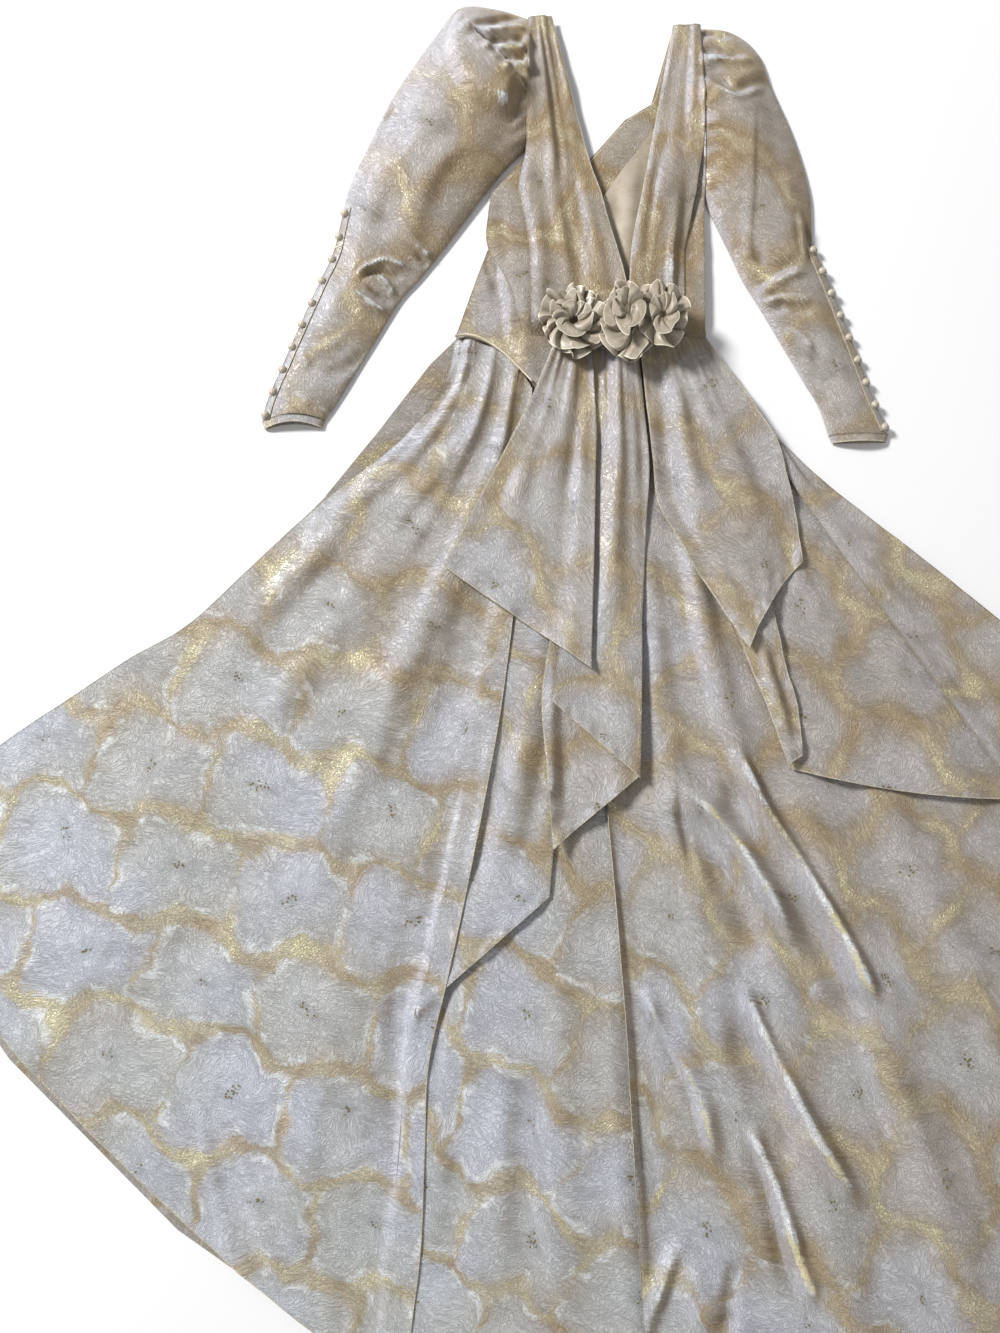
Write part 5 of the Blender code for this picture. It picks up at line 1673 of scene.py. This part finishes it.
# ------------------------------------------------------------------------------- fastenings
@dataclass
class Fastenings:
    """Covered buttons down each forearm, with a loop of fine cord at each."""

    room: Workroom
    radius: float = 5.4 * MM
    dome: float = 4.4 * MM
    cord: float = 0.75 * MM
    pinch: float = 0.10  # how far the cloth is drawn in under the rim, as a share
    puckers: int = 9  # round the rim
    left_count: int = 10
    right_count: int = 9

    def build(self) -> None:
        """Place every button and the loops of each sleeve."""
        pattern = self.model_button()
        loop = self.model_loop()
        for side, count, turn in (("left", self.left_count, math.pi), ("right", self.right_count, 0.0)):
            loops = []
            for number in range(1, count + 1):
                node = f"button_{side}_{number:02d}"
                low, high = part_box(node)
                middle = (low + high) / 2
                top = self.room.heap.top(np.array([middle.x]), np.array([middle.y]))[0][0]
                spot = Vector((middle.x, middle.y, float(top)))
                button = self.place_copy(pattern, node + "_covered", spot, 0.0)
                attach(button, "root")
                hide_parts(node)
                loops.append(self.place_copy(loop, f"loop_{side}_{number:02d}", spot, turn))
            make_active(loops[0])
            for other in loops[1:]:
                other.select_set(True)
            bpy.ops.object.join()
            joined = bpy.context.view_layer.objects.active
            joined.name = f"button_loops_{side}"
            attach(joined, "root")
            LOG.info("%s sleeve: %d covered buttons", side, count)
        for start in (pattern, loop):
            bpy.data.objects.remove(start)

    def model_button(self) -> bpy.types.Object:
        """Model one covered button: a domed top whose cloth is drawn in under a pinched rim."""
        bpy.ops.mesh.primitive_uv_sphere_add(segments=24, ring_count=14, radius=self.radius)
        button = bpy.context.object
        bm = bmesh.new()
        bm.from_mesh(button.data)
        for vert in bm.verts:
            tilt = vert.co.z / self.radius
            turn = math.atan2(vert.co.y, vert.co.x)
            rim = math.exp(-((tilt + 0.25) / 0.16) ** 2)
            drawn = 1 - self.pinch * rim * (1 + 0.4 * math.sin(self.puckers * turn))
            vert.co.x *= drawn
            vert.co.y *= drawn
            vert.co.z = self.dome * (tilt if tilt > 0 else 0.45 * tilt) + 0.45 * self.dome
        bm.to_mesh(button.data)
        bm.free()
        button.data.materials.append(self.room.finishes.button)
        bpy.ops.object.shade_smooth()
        return button

    def model_loop(self) -> bpy.types.Object:
        """Model one loop of cord: the outer half of a ring that goes round the button."""
        bpy.ops.mesh.primitive_torus_add(
            major_segments=28, minor_segments=8,
            major_radius=self.radius + self.cord, minor_radius=self.cord)
        loop = bpy.context.object
        bpy.ops.object.mode_set(mode="EDIT")
        bpy.ops.mesh.select_all(action="SELECT")
        bpy.ops.mesh.bisect(plane_co=(-0.2 * self.radius, 0, 0), plane_no=(1, 0, 0),
                            clear_inner=True, use_fill=True)
        bpy.ops.object.mode_set(mode="OBJECT")
        loop.data.transform(Matrix.Translation((0, 0, self.cord)))
        loop.data.materials.append(self.room.finishes.button)
        bpy.ops.object.shade_smooth()
        return loop

    @staticmethod
    def place_copy(source: bpy.types.Object, name: str, spot: Vector, turn: float) -> bpy.types.Object:
        """Copy a piece with its own mesh and put it in its place.

        Args:
            source: what to copy.
            name: the copy's name.
            spot: where its foot stands.
            turn: how far it is turned about the upright.

        Returns:
            The copy.
        """
        copy = source.copy()
        copy.data = source.data.copy()
        copy.name = name
        bpy.context.scene.collection.objects.link(copy)
        make_active(copy)
        copy.location = spot
        copy.rotation_euler.z = turn
        bpy.ops.object.transform_apply(location=True, rotation=True, scale=True)
        return copy


@dataclass
class Piping:
    """The corded piping along the left hip seam."""

    room: Workroom
    node: str = "hip_piping_left"

    def build(self) -> None:
        """Round off the frame's cord and dress it."""
        source = self.room.frame["nodes"][self.node]
        piece = source.copy()
        piece.data = source.data.copy()
        piece.name = "hip_piping_cord"
        for key in list(piece.keys()):  # the copy is a new piece and not the frame's node
            del piece[key]
        piece.parent = None
        bpy.context.scene.collection.objects.link(piece)
        make_active(piece)
        bpy.ops.object.mode_set(mode="EDIT")
        bpy.ops.mesh.select_all(action="SELECT")
        bpy.ops.mesh.remove_doubles(threshold=WELD)
        bpy.ops.object.mode_set(mode="OBJECT")
        smooth = piece.modifiers.new("round", "SUBSURF")
        smooth.levels = 2
        smooth.render_levels = 2
        apply_modifiers(piece)
        bpy.ops.object.shade_smooth()
        piece.data.materials.clear()
        piece.data.materials.append(self.room.finishes.piping)
        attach(piece, "root")
        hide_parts(self.node)
        LOG.info("piping dressed")


# ------------------------------------------------------------------------------- studio
@dataclass
class Studio:
    """A plain pale floor, soft light from the upper left and the camera over the gown."""

    waist: Vector
    camera_from_waist: tuple = (-0.145, -0.662, 1.42)
    camera_tilt: float = 6.0  # degrees towards the neck
    lens: float = 27.03  # millimetres on a 36 mm sensor
    key_from: tuple = (-4.6, 3.3, 3.9)
    key_size: float = 1.3
    key_power: float = 600.0
    fill_from: tuple = (3.6, -3.0, 4.0)
    fill_size: float = 3.0
    fill_power: float = 30.0
    floor_size: float = 14.0
    floor_drop: float = 0.6 * MM  # how far the floor lies below the gown
    sky_strength: float = 0.34

    def build(self) -> None:
        """Set the floor, the lights and the world."""
        bpy.ops.mesh.primitive_plane_add(size=self.floor_size, location=(0, 0, -self.floor_drop))
        floor = bpy.context.object
        floor.name = "studio_floor"
        make = Recipe("white paper sweep")
        add = make.add
        place = add(Step.PLACE)
        colour = add(Step.MIX, add(Step.NOISE, place, 2.0), "F8F8F8", "FBFBFC")
        floor.data.materials.append(make.close(add(Step.MATT, colour, 0.9, 0.2)))
        self.light("key", self.key_from, self.key_size, self.key_power)
        self.light("fill", self.fill_from, self.fill_size, self.fill_power)
        world = bpy.data.worlds.new("pale studio")
        world.use_nodes = True
        sky = world.node_tree.nodes["Background"]
        sky.inputs["Color"].default_value = linear("F6F6F8")
        sky.inputs["Strength"].default_value = self.sky_strength
        bpy.context.scene.world = world
        bpy.context.scene.view_settings.view_transform = "Standard"

    def light(self, name: str, place: tuple, size: float, power: float) -> None:
        """Hang one square soft box that faces the gown.

        Args:
            name: its name.
            place: where it hangs.
            size: its side.
            power: its watts.
        """
        bpy.ops.object.light_add(type="AREA", location=place)
        box = bpy.context.object
        box.name = f"{name}_softbox"
        box.data.size = size
        box.data.energy = power
        aim = Vector((0.0, -0.1, 0.0)) - Vector(place)
        box.rotation_euler = aim.to_track_quat("-Z", "Y").to_euler()

    def camera(self) -> None:
        """Set the camera almost straight above, tilted a little towards the neck."""
        x, y, z = self.camera_from_waist
        bpy.ops.object.camera_add(
            location=(self.waist.x + x, self.waist.y + y, z),
            rotation=(math.radians(self.camera_tilt), 0, 0))
        camera = bpy.context.object
        camera.data.lens = self.lens
        camera.data.sensor_width = 36.0
        camera.data.sensor_fit = "AUTO"
        bpy.context.scene.camera = camera


# ------------------------------------------------------------------------------- the gown
def main() -> None:
    """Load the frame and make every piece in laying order."""
    logging.basicConfig(level=logging.INFO, format="%(message)s")
    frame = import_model()
    for piece in bpy.context.selected_objects:
        piece.select_set(False)
    room = Workroom(frame, Finishes())
    studio = Studio(room.waist)
    studio.camera()
    for cut in UNDER_SIDE + SLEEVES + BODY:
        room.lay(cut)
    Piping(room).build()
    Fastenings(room).build()
    Rosettes(room).build()
    studio.build()


if __name__ == "__main__":
    main()
